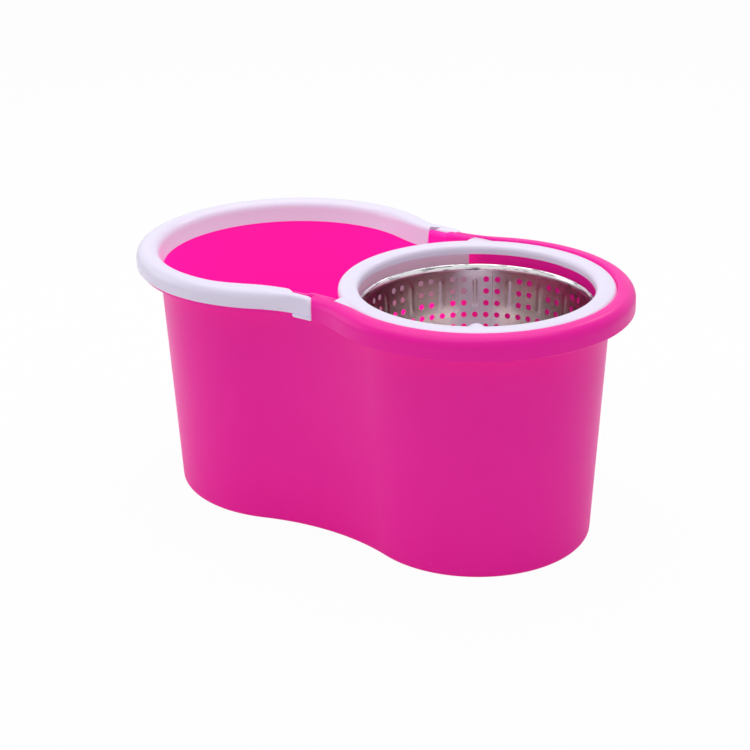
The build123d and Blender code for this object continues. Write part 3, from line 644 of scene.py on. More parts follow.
# ---- bucket ----------------------------------------------------------------------------------
@dataclass(frozen=True)
class Bucket:
    """Tub with the spindle's tower, rim band, hinge tongues and handle flange, in one moulding."""

    datum: Datum
    wall: float = 2.4 * MM
    floor_top: float = 5.6 * MM
    recess: float = 3.0 * MM
    foot_rim: float = 9.0 * MM
    foot_round: float = 5.0 * MM
    floor_round: float = 9.0 * MM
    edge_round: float = 0.7 * MM
    rim_skin: float = 2.5 * MM
    rim_round: float = 9.5 * MM
    rim_inner_round: float = 1.6 * MM
    flange_edge: float = 3.4 * MM
    flange_thickness: float = 2.2 * MM
    flange_end: float = 4.0 * MM
    tongue_start: float = 19.0 * MM
    tongue_step: float = 2.0 * MM
    tongue_rise: tuple[float, float] = (-4.0 * MM, 5.0 * MM)
    tongue_round: float = 7.0 * MM
    tongue_gap: float = 0.4 * MM
    stud_hole: float = 4.58 * MM
    bore_depth: float = 3.0 * MM
    swing_gap: float = 0.5 * MM
    arm_gap: float = 1.0 * MM
    end_round: float = 0.96
    tower_foot: float = 34.0 * MM
    tower_top: float = 22.0 * MM
    tower_top_z: float = 95.0 * MM
    tower_skin: float = 3.0 * MM
    tower_root: float = 3.0 * MM
    tower_edge: float = 2.0 * MM
    bore: float = 4.3 * MM
    web_reach: float = 16.0 * MM
    web_drop: float = 29.0 * MM
    web_thickness: float = 2.2 * MM
    hair: float = 0.05 * MM

    def _columns(self) -> np.ndarray:
        """Parameters round the tub, with a close pair where the wall's top steps up at the tongues."""
        step = self.datum.hinge_x - self.tongue_start
        marks = self.datum.tub(0.0).t_at(np.array([step - self.hair, step + self.hair]))
        lobes = [np.linspace(0, 1, 96), np.linspace(1, 2, 40), np.linspace(2, 3, 110), np.linspace(3, 4, 40)]
        return np.unique(np.round(np.concatenate([*lobes, marks, 5.0 - marks]), 6))[:-1]

    def _wall_top(self, x: np.ndarray) -> np.ndarray:
        """Height of the tub's wall: the flange's level under the handle, the ledge's elsewhere."""
        d = self.datum
        return np.where(x < d.hinge_x - self.tongue_start, d.flange_z, d.ledge_z) - self.hair

    def _tower_radius(self, z: float) -> float:
        """Outer radius of the tower: it falls evenly from the foot to the top."""
        share = (z - self.floor_top) / (self.tower_top_z - self.floor_top)
        return self.tower_foot + (self.tower_top - self.tower_foot) * share

    def tub_rows(self) -> np.ndarray:
        """Closed skin of the tub and its tower, as rows round the spin axis or round the outline.

        A wall point at height z is foot(t) + (ledge(t) - foot(t)) * z / ledge height, and a tower point
        lies on a circle about the spin axis, in the direction of the outline's point of the same column.
        """
        d = self.datum
        t = self._columns()
        ledge = d.ledge_z
        rows: list[np.ndarray] = []

        def wall(inset: float, z: np.ndarray | float) -> np.ndarray:
            """One row on the drafted wall, moved in by the inset."""
            share = (np.asarray(z) / ledge)[..., None]
            place = d.foot(inset).points(t) * (1.0 - share) + d.tub(inset).points(t) * share
            return np.concatenate([place, np.broadcast_to(np.asarray(z, float), t.shape)[..., None]], -1)

        foot = self.foot_round
        rows.append(wall(self.foot_rim, self.recess))
        rows.append(wall(self.foot_rim - 0.2 * MM, 0.3 * MM))
        rows.append(wall(self.foot_rim - 0.6 * MM, 0.0))
        rows += [wall(p[0], p[1]) for p in arc((foot, foot), foot, 270.0, 180.0, 9)]
        top = self._wall_top(d.tub(0.0).points(t)[..., 0])
        rows += [wall(0.0, foot + (top - foot - 1.0 * MM) * share) for share in np.linspace(0.02, 1.0, 12)]
        lip = self.edge_round
        rows += [wall(p[0], top + p[1]) for p in arc((lip, -lip), lip, 180.0, 90.0, 4)]
        rows += [wall(self.wall - lip + p[0], top + p[1]) for p in arc((0.0, -lip), lip, 90.0, 0.0, 4)]
        base, bend = self.floor_top, self.floor_round
        rows += [wall(self.wall, base + bend + (top - base - bend - 2.0 * MM) * share)
                 for share in np.linspace(1.0, 0.0, 12)]
        rows += [wall(self.wall + bend + p[0], base + bend + p[1])
                 for p in arc((0.0, 0.0), bend, 180.0, 270.0, 9)[1:]]
        floor_edge = rows[-1]
        direction = np.arctan2(floor_edge[:, 1], floor_edge[:, 0] - d.spin_x)

        def circle(radius: float, z: float) -> np.ndarray:
            """One row round the spin axis."""
            return d.around_spin(radius, z, direction)

        root_round, top_round = self.tower_root, self.tower_edge
        root = circle(self.tower_foot + root_round, base)
        rows += [floor_edge + (root - floor_edge) * share for share in (0.25, 0.5, 0.75)]
        rows.append(root)
        rows += [circle(self.tower_foot + root_round * (1.0 - math.sin(a)),
                        base + root_round * (1.0 - math.cos(a))) for a in np.radians((22.5, 45.0, 67.5))]
        heights = np.linspace(base + root_round, self.tower_top_z - top_round, 8)
        rows += [circle(self._tower_radius(z), z) for z in heights]
        edge = arc((self.tower_top - top_round, self.tower_top_z - top_round), top_round, 0.0, 90.0, 5)[1:]
        ceiling = self.tower_top_z - self.tower_skin
        rows += [circle(r, z) for r, z in edge]
        rows += [circle(self.bore, z) for z in (self.tower_top_z, ceiling)]
        rows += [circle(self.tower_top - self.tower_skin, ceiling)]
        rows += [circle(self.tower_foot - self.tower_skin, z) for z in (base, self.recess)]
        return np.stack(rows)

    def band_stations(self, solid: bool) -> np.ndarray:
        """Rim band round the spinning lobe: a rounded hollow section carried along the rim.

        The band starts a gap away from the end and the round corner of the handle's ear,
        x = middle + sqrt((corner + gap)^2 - dz^2), and at the top it leaves room for the swung-up arm.

        Args:
            solid: True gives the short solid wall at each start, False the hollow band.
        """
        d, skin = self.datum, self.rim_skin
        high, low, ledge = d.height, d.rim_low_z, d.ledge_z
        outer, inner = self.rim_round, self.rim_inner_round
        section: list[tuple[FigureEight, float]] = []
        wells: set[FigureEight] = set()

        def add(points: np.ndarray) -> None:
            """Adds (inset, z) points of the rim's family of outlines, and notes those round the well."""
            section.extend((d.rim(i), z) for i, z in points)
            wells.update(d.rim(i) for i, _ in points if i > outer)

        add(np.array([[0.5 * MM, low], [0.0, low + 0.6 * MM]]))
        add(arc((outer, high - outer), outer, 180.0, 90.0, 10))
        add(arc((d.well - inner, high - inner), inner, 90.0, 0.0, 5))
        add(np.array([[d.well, ledge]]))
        wall = self.wall - self.hair
        section.extend([(d.tub(wall), ledge), (d.tub(wall), ledge - 2.0 * MM)])
        section.append((d.tub(wall / 2.0), ledge - skin))
        if solid:
            section.append((d.tub(wall / 2.0), low))
            add(np.array([[skin, low]]))
        else:
            add(np.array([[d.well - skin, ledge - skin], [d.well - skin, high - skin - 1.0 * MM]]))
            add(np.array([[d.well - skin - 1.0 * MM, high - skin]]))
            add(arc((outer, high - outer), outer - skin, 90.0, 180.0, 7))
            add(np.array([[skin, low]]))
        shape = np.array([z for _, z in section])
        corner = d.ear_corner + self.swing_gap
        above = np.clip(shape - (high - d.ear_corner), 0.0, corner)
        face = d.hinge_x + d.ear_reach - d.ear_corner + np.sqrt(corner**2 - above**2)
        face = np.maximum(face, d.hinge_x + (high - d.hinge_z) + self.arm_gap)
        ends = np.array([float(o.t_at(x)) for (o, _), x in zip(section, face)])
        if solid:
            share = np.array([1.0, 0.9965, 0.96])
        else:
            reference = np.unique(np.concatenate([np.linspace(0.5, 1.0, 56), np.linspace(1.0, ends[0], 18)]))
            half = (reference - 0.5) / (ends[0] - 0.5)
            share = np.concatenate([-half[::-1], half[1:]]) * 0.995
        t = 0.5 + share[:, None] * (ends - 0.5)[None, :]
        place = np.stack([d.seat(o, t[:, k]) if o in wells else o.points(t[:, k])
                          for k, (o, _) in enumerate(section)], 1)
        z = np.broadcast_to(shape, t.shape)[..., None]
        stations = np.concatenate([place, z], -1)
        if solid:
            middle = stations[0].mean(0)
            stations[0] = middle + (stations[0] - middle) * self.end_round
        return stations

    def flange_stations(self) -> np.ndarray:
        """Flat flange round the washing lobe that the handle lies on."""
        d = self.datum
        end = d.hinge_x - d.arm_end - self.flange_end
        high, low = d.flange_z, d.flange_z - self.flange_thickness
        section = [(d.rim(self.flange_edge), high - 0.4 * MM), (d.rim(self.flange_edge + 0.4 * MM), high),
                   (d.tub(1.0 * MM), high), (d.tub(1.0 * MM), low), (d.rim(self.flange_edge + 0.3 * MM), low)]
        start = np.array([float(o.t_at(end)) for o, _ in section])
        reference = np.concatenate([np.linspace(start[0], 2.0, 6)[:-1], np.linspace(2.0, 2.5, 60)])
        half = (2.5 - reference) / (2.5 - start[0])
        share = np.concatenate([half, -half[-2::-1]])
        t = 2.5 - share[:, None] * (2.5 - start)[None, :]
        place = np.stack([o.points(t[:, k]) for k, (o, _) in enumerate(section)], 1)
        z = np.broadcast_to(np.array([z for _, z in section]), t.shape)[..., None]
        return np.concatenate([place, z], -1)

    def _tongue_top(self, x: np.ndarray) -> np.ndarray:
        """Height of the tongue: low beside the arm, rising smoothly to the rim beside the ear."""
        low, high = (self.datum.hinge_x + reach for reach in self.tongue_rise)
        share = np.clip((x - low) / (high - low), 0.0, 1.0)
        return self.datum.height - self.hair - self.tongue_step * (1.0 - share**2 * (3.0 - 2.0 * share))

    def tongue_plate(self, side: float) -> np.ndarray:
        """Tongue that carries the ear's stud in a blind bore.

        Columns follow the plate's outline in side view. Rows go from the middle of the inner face out
        to the outline, over the rounded edge, down the outer face to the bore and to the bore's bottom.
        """
        d = self.datum
        start, stop, low = d.hinge_x - self.tongue_start, d.tab_x - self.tongue_gap, d.rim_low_z + 1.0 * MM
        run, climb = np.linspace(start, stop, 60), np.linspace(0.0, 1.0, 10)[1:-1]
        top = self._tongue_top(run)
        path = np.concatenate([
            np.stack([run, top], -1), np.stack([np.full(8, stop), top[-1] + (low - top[-1]) * climb], -1),
            np.stack([run[::-1], np.full(60, low)], -1),
            np.stack([np.full(8, start), low + (top[0] - low) * climb], -1)])
        upper = np.clip((path[:, 1] - low) / (top[0] - low), 0.0, 1.0)
        pivot = np.array([d.hinge_x, d.hinge_z])
        turn = np.arctan2(*(path - pivot).T[::-1])
        hole = pivot + self.stud_hole * np.stack([np.cos(turn), np.sin(turn)], -1)

        def row(points: np.ndarray, y: np.ndarray | float) -> np.ndarray:
            """Gives points of the side view their y on this side."""
            return np.stack([points[:, 0], side * np.broadcast_to(y, len(points)), points[:, 1]], -1)

        def lowered(depth: float) -> np.ndarray:
            """The outline with its upper edge let down."""
            return path - np.stack([np.zeros(len(path)), depth * upper], -1)

        def inner(points: np.ndarray) -> np.ndarray:
            """The tongue's inner face, which carries on the tub's inner wall."""
            return d.tub(self.wall + self.hair).y_at(points[:, 0])

        lip, outer = 0.5 * MM, d.hinge_face_y
        soft = min(self.tongue_round, outer - lip - float(inner(path).max()))
        small = lowered(soft)
        shrunk = [pivot + (small - pivot) * share for share in (0.0, 0.3, 0.6, 0.85)]
        rows = [row(points, inner(points)) for points in shrunk]
        rows += [row(lowered(soft * (1.0 - math.sin(a))), inner(path) + soft * (1.0 - math.cos(a)))
                 for a in np.radians(np.linspace(0.0, 90.0, 7))]
        rows += [row(lowered(0.0), outer - lip), row(lowered(lip), outer), row(hole, outer),
                 row(hole, outer - self.bore_depth),
                 row(np.broadcast_to(pivot, hole.shape), outer - self.bore_depth)]
        return np.stack(rows)

    def web_plate(self, turn: float) -> np.ndarray:
        """One web between the tower and the floor: a narrow prism in a plane through the spin axis."""
        base, top = self.floor_top - 0.4 * MM, self.tower_top_z - self.web_drop
        buried, reach = self.tower_skin / 2.0, self.tower_foot + self.web_reach
        at_base, at_top = self._tower_radius(base), self._tower_radius(top)
        outline = np.array([[at_base - buried, base], [reach, base], [reach, base + 0.8 * MM],
                            [at_top + 1.0 * MM, top], [at_top - buried, top]])
        half = self.web_thickness / 2.0
        cos, sin = math.cos(turn), math.sin(turn)
        sides = [np.stack([self.datum.spin_x + outline[:, 0] * cos - shift * sin,
                           outline[:, 0] * sin + shift * cos, outline[:, 1]], -1) for shift in (-half, half)]
        return np.stack(sides)

    def build(self) -> bpy.types.Object:
        """Makes the whole moulding as one piece."""
        skin = Skin("bucket_moulding")
        skin.grid(self.tub_rows(), wrap_rows=True, wrap_columns=True)
        skin.sweep(self.band_stations(solid=False))
        ends = self.band_stations(solid=True)
        skin.sweep(ends)
        skin.sweep(ends * np.array([1.0, -1.0, 1.0]))
        skin.sweep(self.flange_stations())
        for side in (-1.0, 1.0):
            skin.grid(self.tongue_plate(side), wrap_columns=True)
        for k in range(4):
            skin.sweep(self.web_plate(TAU * (k + 0.5) / 4.0))
        return self.marked_bowl(skin.piece())

    def marked_bowl(self, piece: bpy.types.Object) -> bpy.types.Object:
        """Adds the attribute "bowl", the mask of the painted light in the bowl: 1 on the washing lobe's inner
        wall and floor, 0 elsewhere.

        A wall point is inside where its normal points back to the line between the lobes' centres.
        """
        d, mesh = self.datum, piece.data
        place, normal = np.empty(len(mesh.vertices) * 3), np.empty(len(mesh.vertices) * 3)
        mesh.vertices.foreach_get("co", place)
        mesh.vertices.foreach_get("normal", normal)
        place, normal = place.reshape(-1, 3), normal.reshape(-1, 3)
        out_x = place[:, 0] - np.clip(place[:, 0], d.wash_x, d.spin_x)
        reach = np.hypot(out_x, place[:, 1]) + WELD
        inward = -(normal[:, 0] * out_x + normal[:, 1] * place[:, 1]) / reach
        upward = normal[:, 2] * (place[:, 2] < self.floor_top + self.floor_round)
        left = np.clip((d.hinge_x + d.tab_reach - place[:, 0]) / d.tab_reach, 0.0, 1.0)
        bowl = np.clip(2.0 * np.maximum(inward, upward), 0.0, 1.0) * left
        mesh.attributes.new("bowl", "FLOAT", "POINT").data.foreach_set("value", bowl)
        return piece


# ---- handle ----------------------------------------------------------------------------------
@dataclass(frozen=True)
class Handle:
    """Carrying handle: a U channel round the washing lobe with a solid hinge ear at each end."""

    datum: Datum
    skin: float = 2.4 * MM
    overhang: float = 1.0 * MM
    rest_gap: float = 0.3 * MM
    outer_depth: float = 16.0 * MM
    outer_round: float = 9.0 * MM
    inner_round: tuple[float, float] = (4.0 * MM, 8.5 * MM)
    round_blend: tuple[float, float] = (-24.0 * MM, -75.0 * MM)
    run_inset: float = 11.5 * MM
    skirt_lean: float = 2.9 * MM
    skirt_skin: float = 1.2 * MM
    skirt_overlap: float = 1.8 * MM
    step: float = 11.5 * MM
    step_insets: tuple[float, float] = (4.8 * MM, 13.5 * MM)
    proud: float = 0.05 * MM
    ear_outer_round: float = 3.2 * MM
    ear_inner_round: float = 6.0 * MM
    ear_end_round: float = 1.6 * MM
    ear_lead: float = 12.0 * MM
    ear_blend: float = 22.0 * MM
    lip_start: float = 7.0 * MM
    lip_low: float = 19.0 * MM
    lip_height: float = 2.4 * MM
    lip_reach: float = 0.5 * MM
    lip_corner: float = 2.0 * MM
    groove: float = 0.6 * MM
    stud: float = 4.5 * MM
    stud_length: float = 2.7 * MM

    def grip_stations(self, inner: float) -> np.ndarray:
        """The channel: a closed U section whose outer side follows the rim and inner side the tub.

        Every section point runs from its own start on the waist to the mirrored end. The inner side ends
        first, and between the two step insets the start moves forward along a diagonal.

        Args:
            inner: Radius of the inner upper edge.
        """
        d = self.datum
        high = d.height
        low = d.flange_z + self.rest_gap
        outer, skin = self.outer_round, self.skin
        section: list[tuple[FigureEight, float]] = []
        ahead: list[float] = []
        edge = high - self.outer_depth

        def outside(points: list | np.ndarray) -> None:
            """Adds (inset, z) points that follow the rim, with the step's share of each."""
            section.extend((d.rim(i), z) for i, z in points)
            ahead.extend(np.interp([i for i, _ in points], self.step_insets, (1.0, 0.0)))

        def inside(points: list | np.ndarray) -> None:
            """Adds (inset, z) points that follow the tub's edge."""
            section.extend((d.tub(self.overhang + i), z) for i, z in points)
            ahead.extend([0.0] * len(points))

        run = np.linspace(outer, self.run_inset, 4)[1:]
        outside([(0.7 * MM, edge), (0.1 * MM, edge + 0.6 * MM),
                 *arc((outer, high - outer), outer, 180.0, 90.0, 11), *((i, high) for i in run)])
        lean, hem = self.skirt_lean, low - self.skirt_overlap
        inside([*arc((-inner, high - inner), inner, 90.0, 0.0, 8), (lean, hem + 0.5 * MM),
                (lean - 0.4 * MM, hem), (lean - self.skirt_skin, hem), (lean - self.skirt_skin, low),
                (-skin, low + 3.0 * MM)])
        thin_or_painted_shade = inner - skin
        inside(arc((-skin - thin_or_painted_shade, high - inner), thin_or_painted_shade, 0.0, 90.0, 4))
        outside([*((i, high - skin) for i in run[::-1]),
                 *arc((outer, high - outer), outer - skin, 90.0, 180.0, 7), (skin, edge)])
        start = d.hinge_x - d.arm_end
        ends = np.array([float(o.t_at(start + self.step * share)) for (o, _), share in zip(section, ahead)])
        reference = np.concatenate([np.linspace(ends[0], 2.0, 16)[:-1], np.linspace(2.0, 2.5, 66)])
        half = (2.5 - reference) / (2.5 - ends[0])
        share = np.concatenate([half, -half[-2::-1]])
        t = 2.5 - share[:, None] * (2.5 - ends)[None, :]
        place = np.stack([o.points(t[:, k]) for k, (o, _) in enumerate(section)], 1)
        z = np.broadcast_to(np.array([z for _, z in section]), t.shape)[..., None]
        return np.concatenate([place, z], -1)

    def _ear_face(self, x: np.ndarray) -> np.ndarray:
        """Outer face of the ear: the rim's outline, drawn in on a small arc at the ear's end."""
        d = self.datum
        past = np.clip(x - (d.hinge_x + d.ear_reach - self.ear_end_round), 0.0, self.ear_end_round)
        drawn_in = self.ear_end_round - np.sqrt(self.ear_end_round**2 - past**2)
        return d.rim(-self.proud).y_at(x) - drawn_in

    def ear_stations(self, side: float) -> np.ndarray:
        """One ear: upright sections across the handle, whose top comes down round the ear's corner.

        The top at x is the rim's height, and past the corner's centre centre_z + sqrt(corner^2 - dx^2).
        The outer edge's radius shrinks from the arm's to the ear's over the blend.
        """
        d = self.datum
        end = d.hinge_x + d.ear_reach
        corner = d.ear_corner
        middle = end - corner
        turn = np.radians(np.linspace(88.0, 0.0, 18))
        start = d.hinge_x - d.arm_end - self.ear_lead
        x = np.concatenate([np.linspace(start, middle, 36), middle + corner * np.cos(turn)])
        high = d.height - self.proud
        past = np.clip(x - middle, 0.0, corner)
        top = high - corner + np.sqrt(corner**2 - past**2)
        share = np.clip((x - start) / self.ear_blend, 0.0, 1.0)
        outer = self.outer_round + (self.ear_outer_round - self.outer_round) * share**2 * (3.0 - 2.0 * share)
        low = d.height - self.outer_depth
        inner_face, outer_face = d.hinge_face_y + d.hinge_gap, self._ear_face(x)
        inner = np.minimum(self.ear_inner_round, outer_face - inner_face - outer)
        inner = np.maximum(inner, 0.3 * MM)
        columns = [(np.full_like(x, inner_face), np.full_like(x, low))]
        columns += [(inner_face + inner * (1.0 - math.cos(a)), top - inner * (1.0 - math.sin(a)))
                    for a in np.radians(np.linspace(0.0, 90.0, 9))]
        columns += [(outer_face - outer * (1.0 - math.cos(a)), top - outer * (1.0 - math.sin(a)))
                    for a in np.radians(np.linspace(90.0, 0.0, 9))]
        soft = 0.5 * MM
        columns += [(outer_face, np.full_like(x, low + soft)), (outer_face - soft, np.full_like(x, low))]
        return np.stack([np.stack([x, side * y, z], -1) for y, z in columns], 1)

    def lip_stations(self, side: float, low_z: float, high_z: float, reach: float) -> np.ndarray:
        """Bar along the ear's foot, with a round lower corner at its front end.

        Args:
            side: Which ear, -1.0 or 1.0.
            low_z: Lower side.
            high_z: Upper side.
            reach: How far its outer side stands out from the ear's face.
        """
        d, corner = self.datum, self.lip_corner
        start, stop = d.hinge_x - self.lip_start, d.hinge_x + d.ear_reach
        turn = np.radians(np.linspace(0.0, 90.0, 7))
        x = np.concatenate([start + corner * (1.0 - np.cos(turn)), np.linspace(start + corner, stop, 12)[1:]])
        back = np.clip(start + corner - x, 0.0, corner)
        low = np.minimum(low_z + corner - np.sqrt(corner**2 - back**2), high_z - 0.2 * MM)
        inner_face, outer_face = d.hinge_face_y + d.hinge_gap, self._ear_face(x) + reach
        soft = 0.3 * MM
        flat = np.full_like(x, high_z)
        inner_side = np.full_like(x, inner_face)
        columns = [(inner_side, low), (inner_side, flat), (outer_face - soft, flat),
                   (outer_face, flat - soft), (outer_face, np.minimum(low + soft, flat - soft)),
                   (outer_face - soft, low)]
        return np.stack([np.stack([x, side * y, z], -1) for y, z in columns], 1)

    def stud_stations(self, side: float) -> np.ndarray:
        """Hinge stud: circles about the hinge axis, chamfered at the inner end."""
        d = self.datum
        turn = np.linspace(0.0, TAU, 40, endpoint=False)
        tip, soft = d.hinge_face_y - self.stud_length, 0.5 * MM
        rows = [np.stack([d.hinge_x + radius * np.cos(turn), np.full_like(turn, side * y),
                          d.hinge_z + radius * np.sin(turn)], -1)
                for y, radius in ((d.hinge_face_y + 2.0 * MM, self.stud), (tip + soft, self.stud),
                                  (tip, self.stud - soft))]
        return np.stack(rows)

    def build(self) -> bpy.types.Object:
        """Makes the handle as one piece."""
        skin = Skin("handle_moulding")
        tight, wide = (self.grip_stations(inner) for inner in self.inner_round)
        start, stop = self.round_blend
        share = np.clip((tight[:, :, :1].mean(1, keepdims=True) - start) / (stop - start), 0.0, 1.0)
        skin.sweep(tight + (wide - tight) * share**2 * (3.0 - 2.0 * share))
        foot, arm = self.datum.height - self.lip_low, self.datum.height - self.outer_depth
        for side in (-1.0, 1.0):
            skin.sweep(self.ear_stations(side))
            skin.sweep(self.lip_stations(side, foot, foot + self.lip_height, self.lip_reach))
            skin.sweep(self.lip_stations(side, foot + self.lip_height / 2.0, arm + 1.0 * MM, -self.groove))
            skin.sweep(self.stud_stations(side))
        return skin.piece()


# ---- splash ring -----------------------------------------------------------------------------
@dataclass(frozen=True)
class SplashRing:
    """White ring over the basket: arched crown, brim in the well, pointed tabs, skirt and lip."""

    datum: Datum
    clearance: float = 0.7 * MM
    skin: float = 2.2 * MM
    outer: float = 115.5 * MM
    outer_round: float = 3.6 * MM
    crown: float = 107.5 * MM
    shoulder_drop: float = 0.5 * MM
    opening: float = 98.5 * MM
    opening_round: float = 4.6 * MM
    opening_drop: float = 0.4 * MM
    lip_drop: float = 8.7 * MM
    seat_gap: float = 0.3 * MM
    brim_inner: float = 112.6 * MM
    brim_top: float = 221.0 * MM
    tab_drop: float = 0.8 * MM
    skirt: float = 105.2 * MM
    skirt_depth: float = 49.0 * MM
    skirt_half_angle: float = 52.0
    locating: float = 108.9 * MM
    locating_depth: float = 13.0 * MM
    locating_half_angle: float = 80.0

    def crown_rows(self) -> np.ndarray:
        """Crown: a closed channel section turned round the spin axis.

        The top is the arc through the two shoulders and the crown, with a round edge on each side.
        """
        d = self.datum
        outer, opening, skin = self.outer, self.opening, self.skin
        big, small = self.outer_round, self.opening_round
        high_out, high_in = d.height - self.shoulder_drop, d.height - self.opening_drop
        seat, lip = d.ledge_z + self.seat_gap + 0.4 * MM, d.height - self.lip_drop
        arch = arc_through((outer - big, high_out), (self.crown, d.height), (opening + small, high_in), 9)
        over = [[[outer, seat]], arc((outer - big, high_out - big), big, 0.0, 90.0, 8)[:-1], arch,
                arc((opening + small, high_in - small), small, 90.0, 180.0, 9)[1:]]
        lower = arc((opening + skin / 2.0, lip + skin / 2.0), skin / 2.0, 180.0, 360.0, 7)
        under = [arc((opening + small, high_in - small), small - skin, 180.0, 90.0, 6),
                 arch[::-1][2:-2] - [0.0, skin],
                 arc((outer - big, high_out - big), big - skin, 90.0, 0.0, 5), [[outer - skin, seat]]]
        profile = np.concatenate([*over, lower, *under])
        angle = np.linspace(0.0, TAU, 180, endpoint=False)
        return d.around_spin(profile[:, :1], profile[:, 1:], angle[None, :])

    def brim_stations(self) -> np.ndarray:
        """Flat brim between the crown and the rim's well, ending in the two pointed tabs.

        The brim lies low round the lobe and rises to the crown's height at the tabs.
        """
        d = self.datum
        outline = d.rim(d.well + self.clearance)
        end = float(outline.t_at(d.tab_x))
        reference = np.concatenate([np.linspace(0.5, 1.0, 50)[:-1], np.linspace(1.0, end, 16)])
        t = np.concatenate([1.0 - reference[::-1], reference[1:]])
        rim = d.seat(outline, t)
        angle = np.unwrap(np.arctan2(rim[:, 1], rim[:, 0] - d.spin_x))
        radius = np.hypot(rim[:, 0] - d.spin_x, rim[:, 1])
        inner_angle = angle * math.acos((d.tab_x - d.spin_x) / self.brim_inner) / angle[-1]
        seat = d.ledge_z + self.seat_gap
        high = self.brim_top + (d.height - self.tab_drop - self.brim_top) * np.sqrt(d.near_tab(rim[:, 0]))
        lip = 0.5 * MM
        inner = np.full_like(radius, self.brim_inner)
        corners = [(radius, angle, np.full_like(radius, seat)), (radius, angle, high - lip),
                   (radius - lip * 0.3, angle, high - lip * 0.3), (radius - lip, angle, high),
                   (inner, inner_angle, high), (inner, inner_angle, np.full_like(radius, seat))]
        return np.stack([d.around_spin(r, z, a) for r, a, z in corners], 1)

    def wall_stations(self, radius: float, depth: float, middle: float, half_angle: float) -> np.ndarray:
        """Upright curved wall under the ring.

        Args:
            radius: Outer radius.
            depth: Depth of the lower edge under the rim's top.
            middle: Direction of its middle, in degrees.
            half_angle: Reach each way, in degrees.
        """
        d = self.datum
        low, high = d.height - depth, d.height - self.skin - 0.5 * MM
        soft = 0.8 * MM
        section = [(radius - soft, low), (radius, low + soft), (radius, high), (radius - self.skin, high),
                   (radius - self.skin, low + soft), (radius - self.skin + soft, low)]
        angle = np.radians(np.linspace(middle - half_angle, middle + half_angle, 60))
        return np.stack([d.around_spin(r, z, angle) for r, z in section], 1)

    def build(self) -> bpy.types.Object:
        """Makes the ring as one piece."""
        skin = Skin("splash_ring_moulding")
        skin.grid(self.crown_rows(), wrap_rows=True, wrap_columns=True)
        skin.sweep(self.brim_stations())
        skin.sweep(self.wall_stations(self.skirt, self.skirt_depth, 180.0, self.skirt_half_angle))
        skin.sweep(self.wall_stations(self.locating, self.locating_depth, 0.0, self.locating_half_angle))
        return skin.piece()


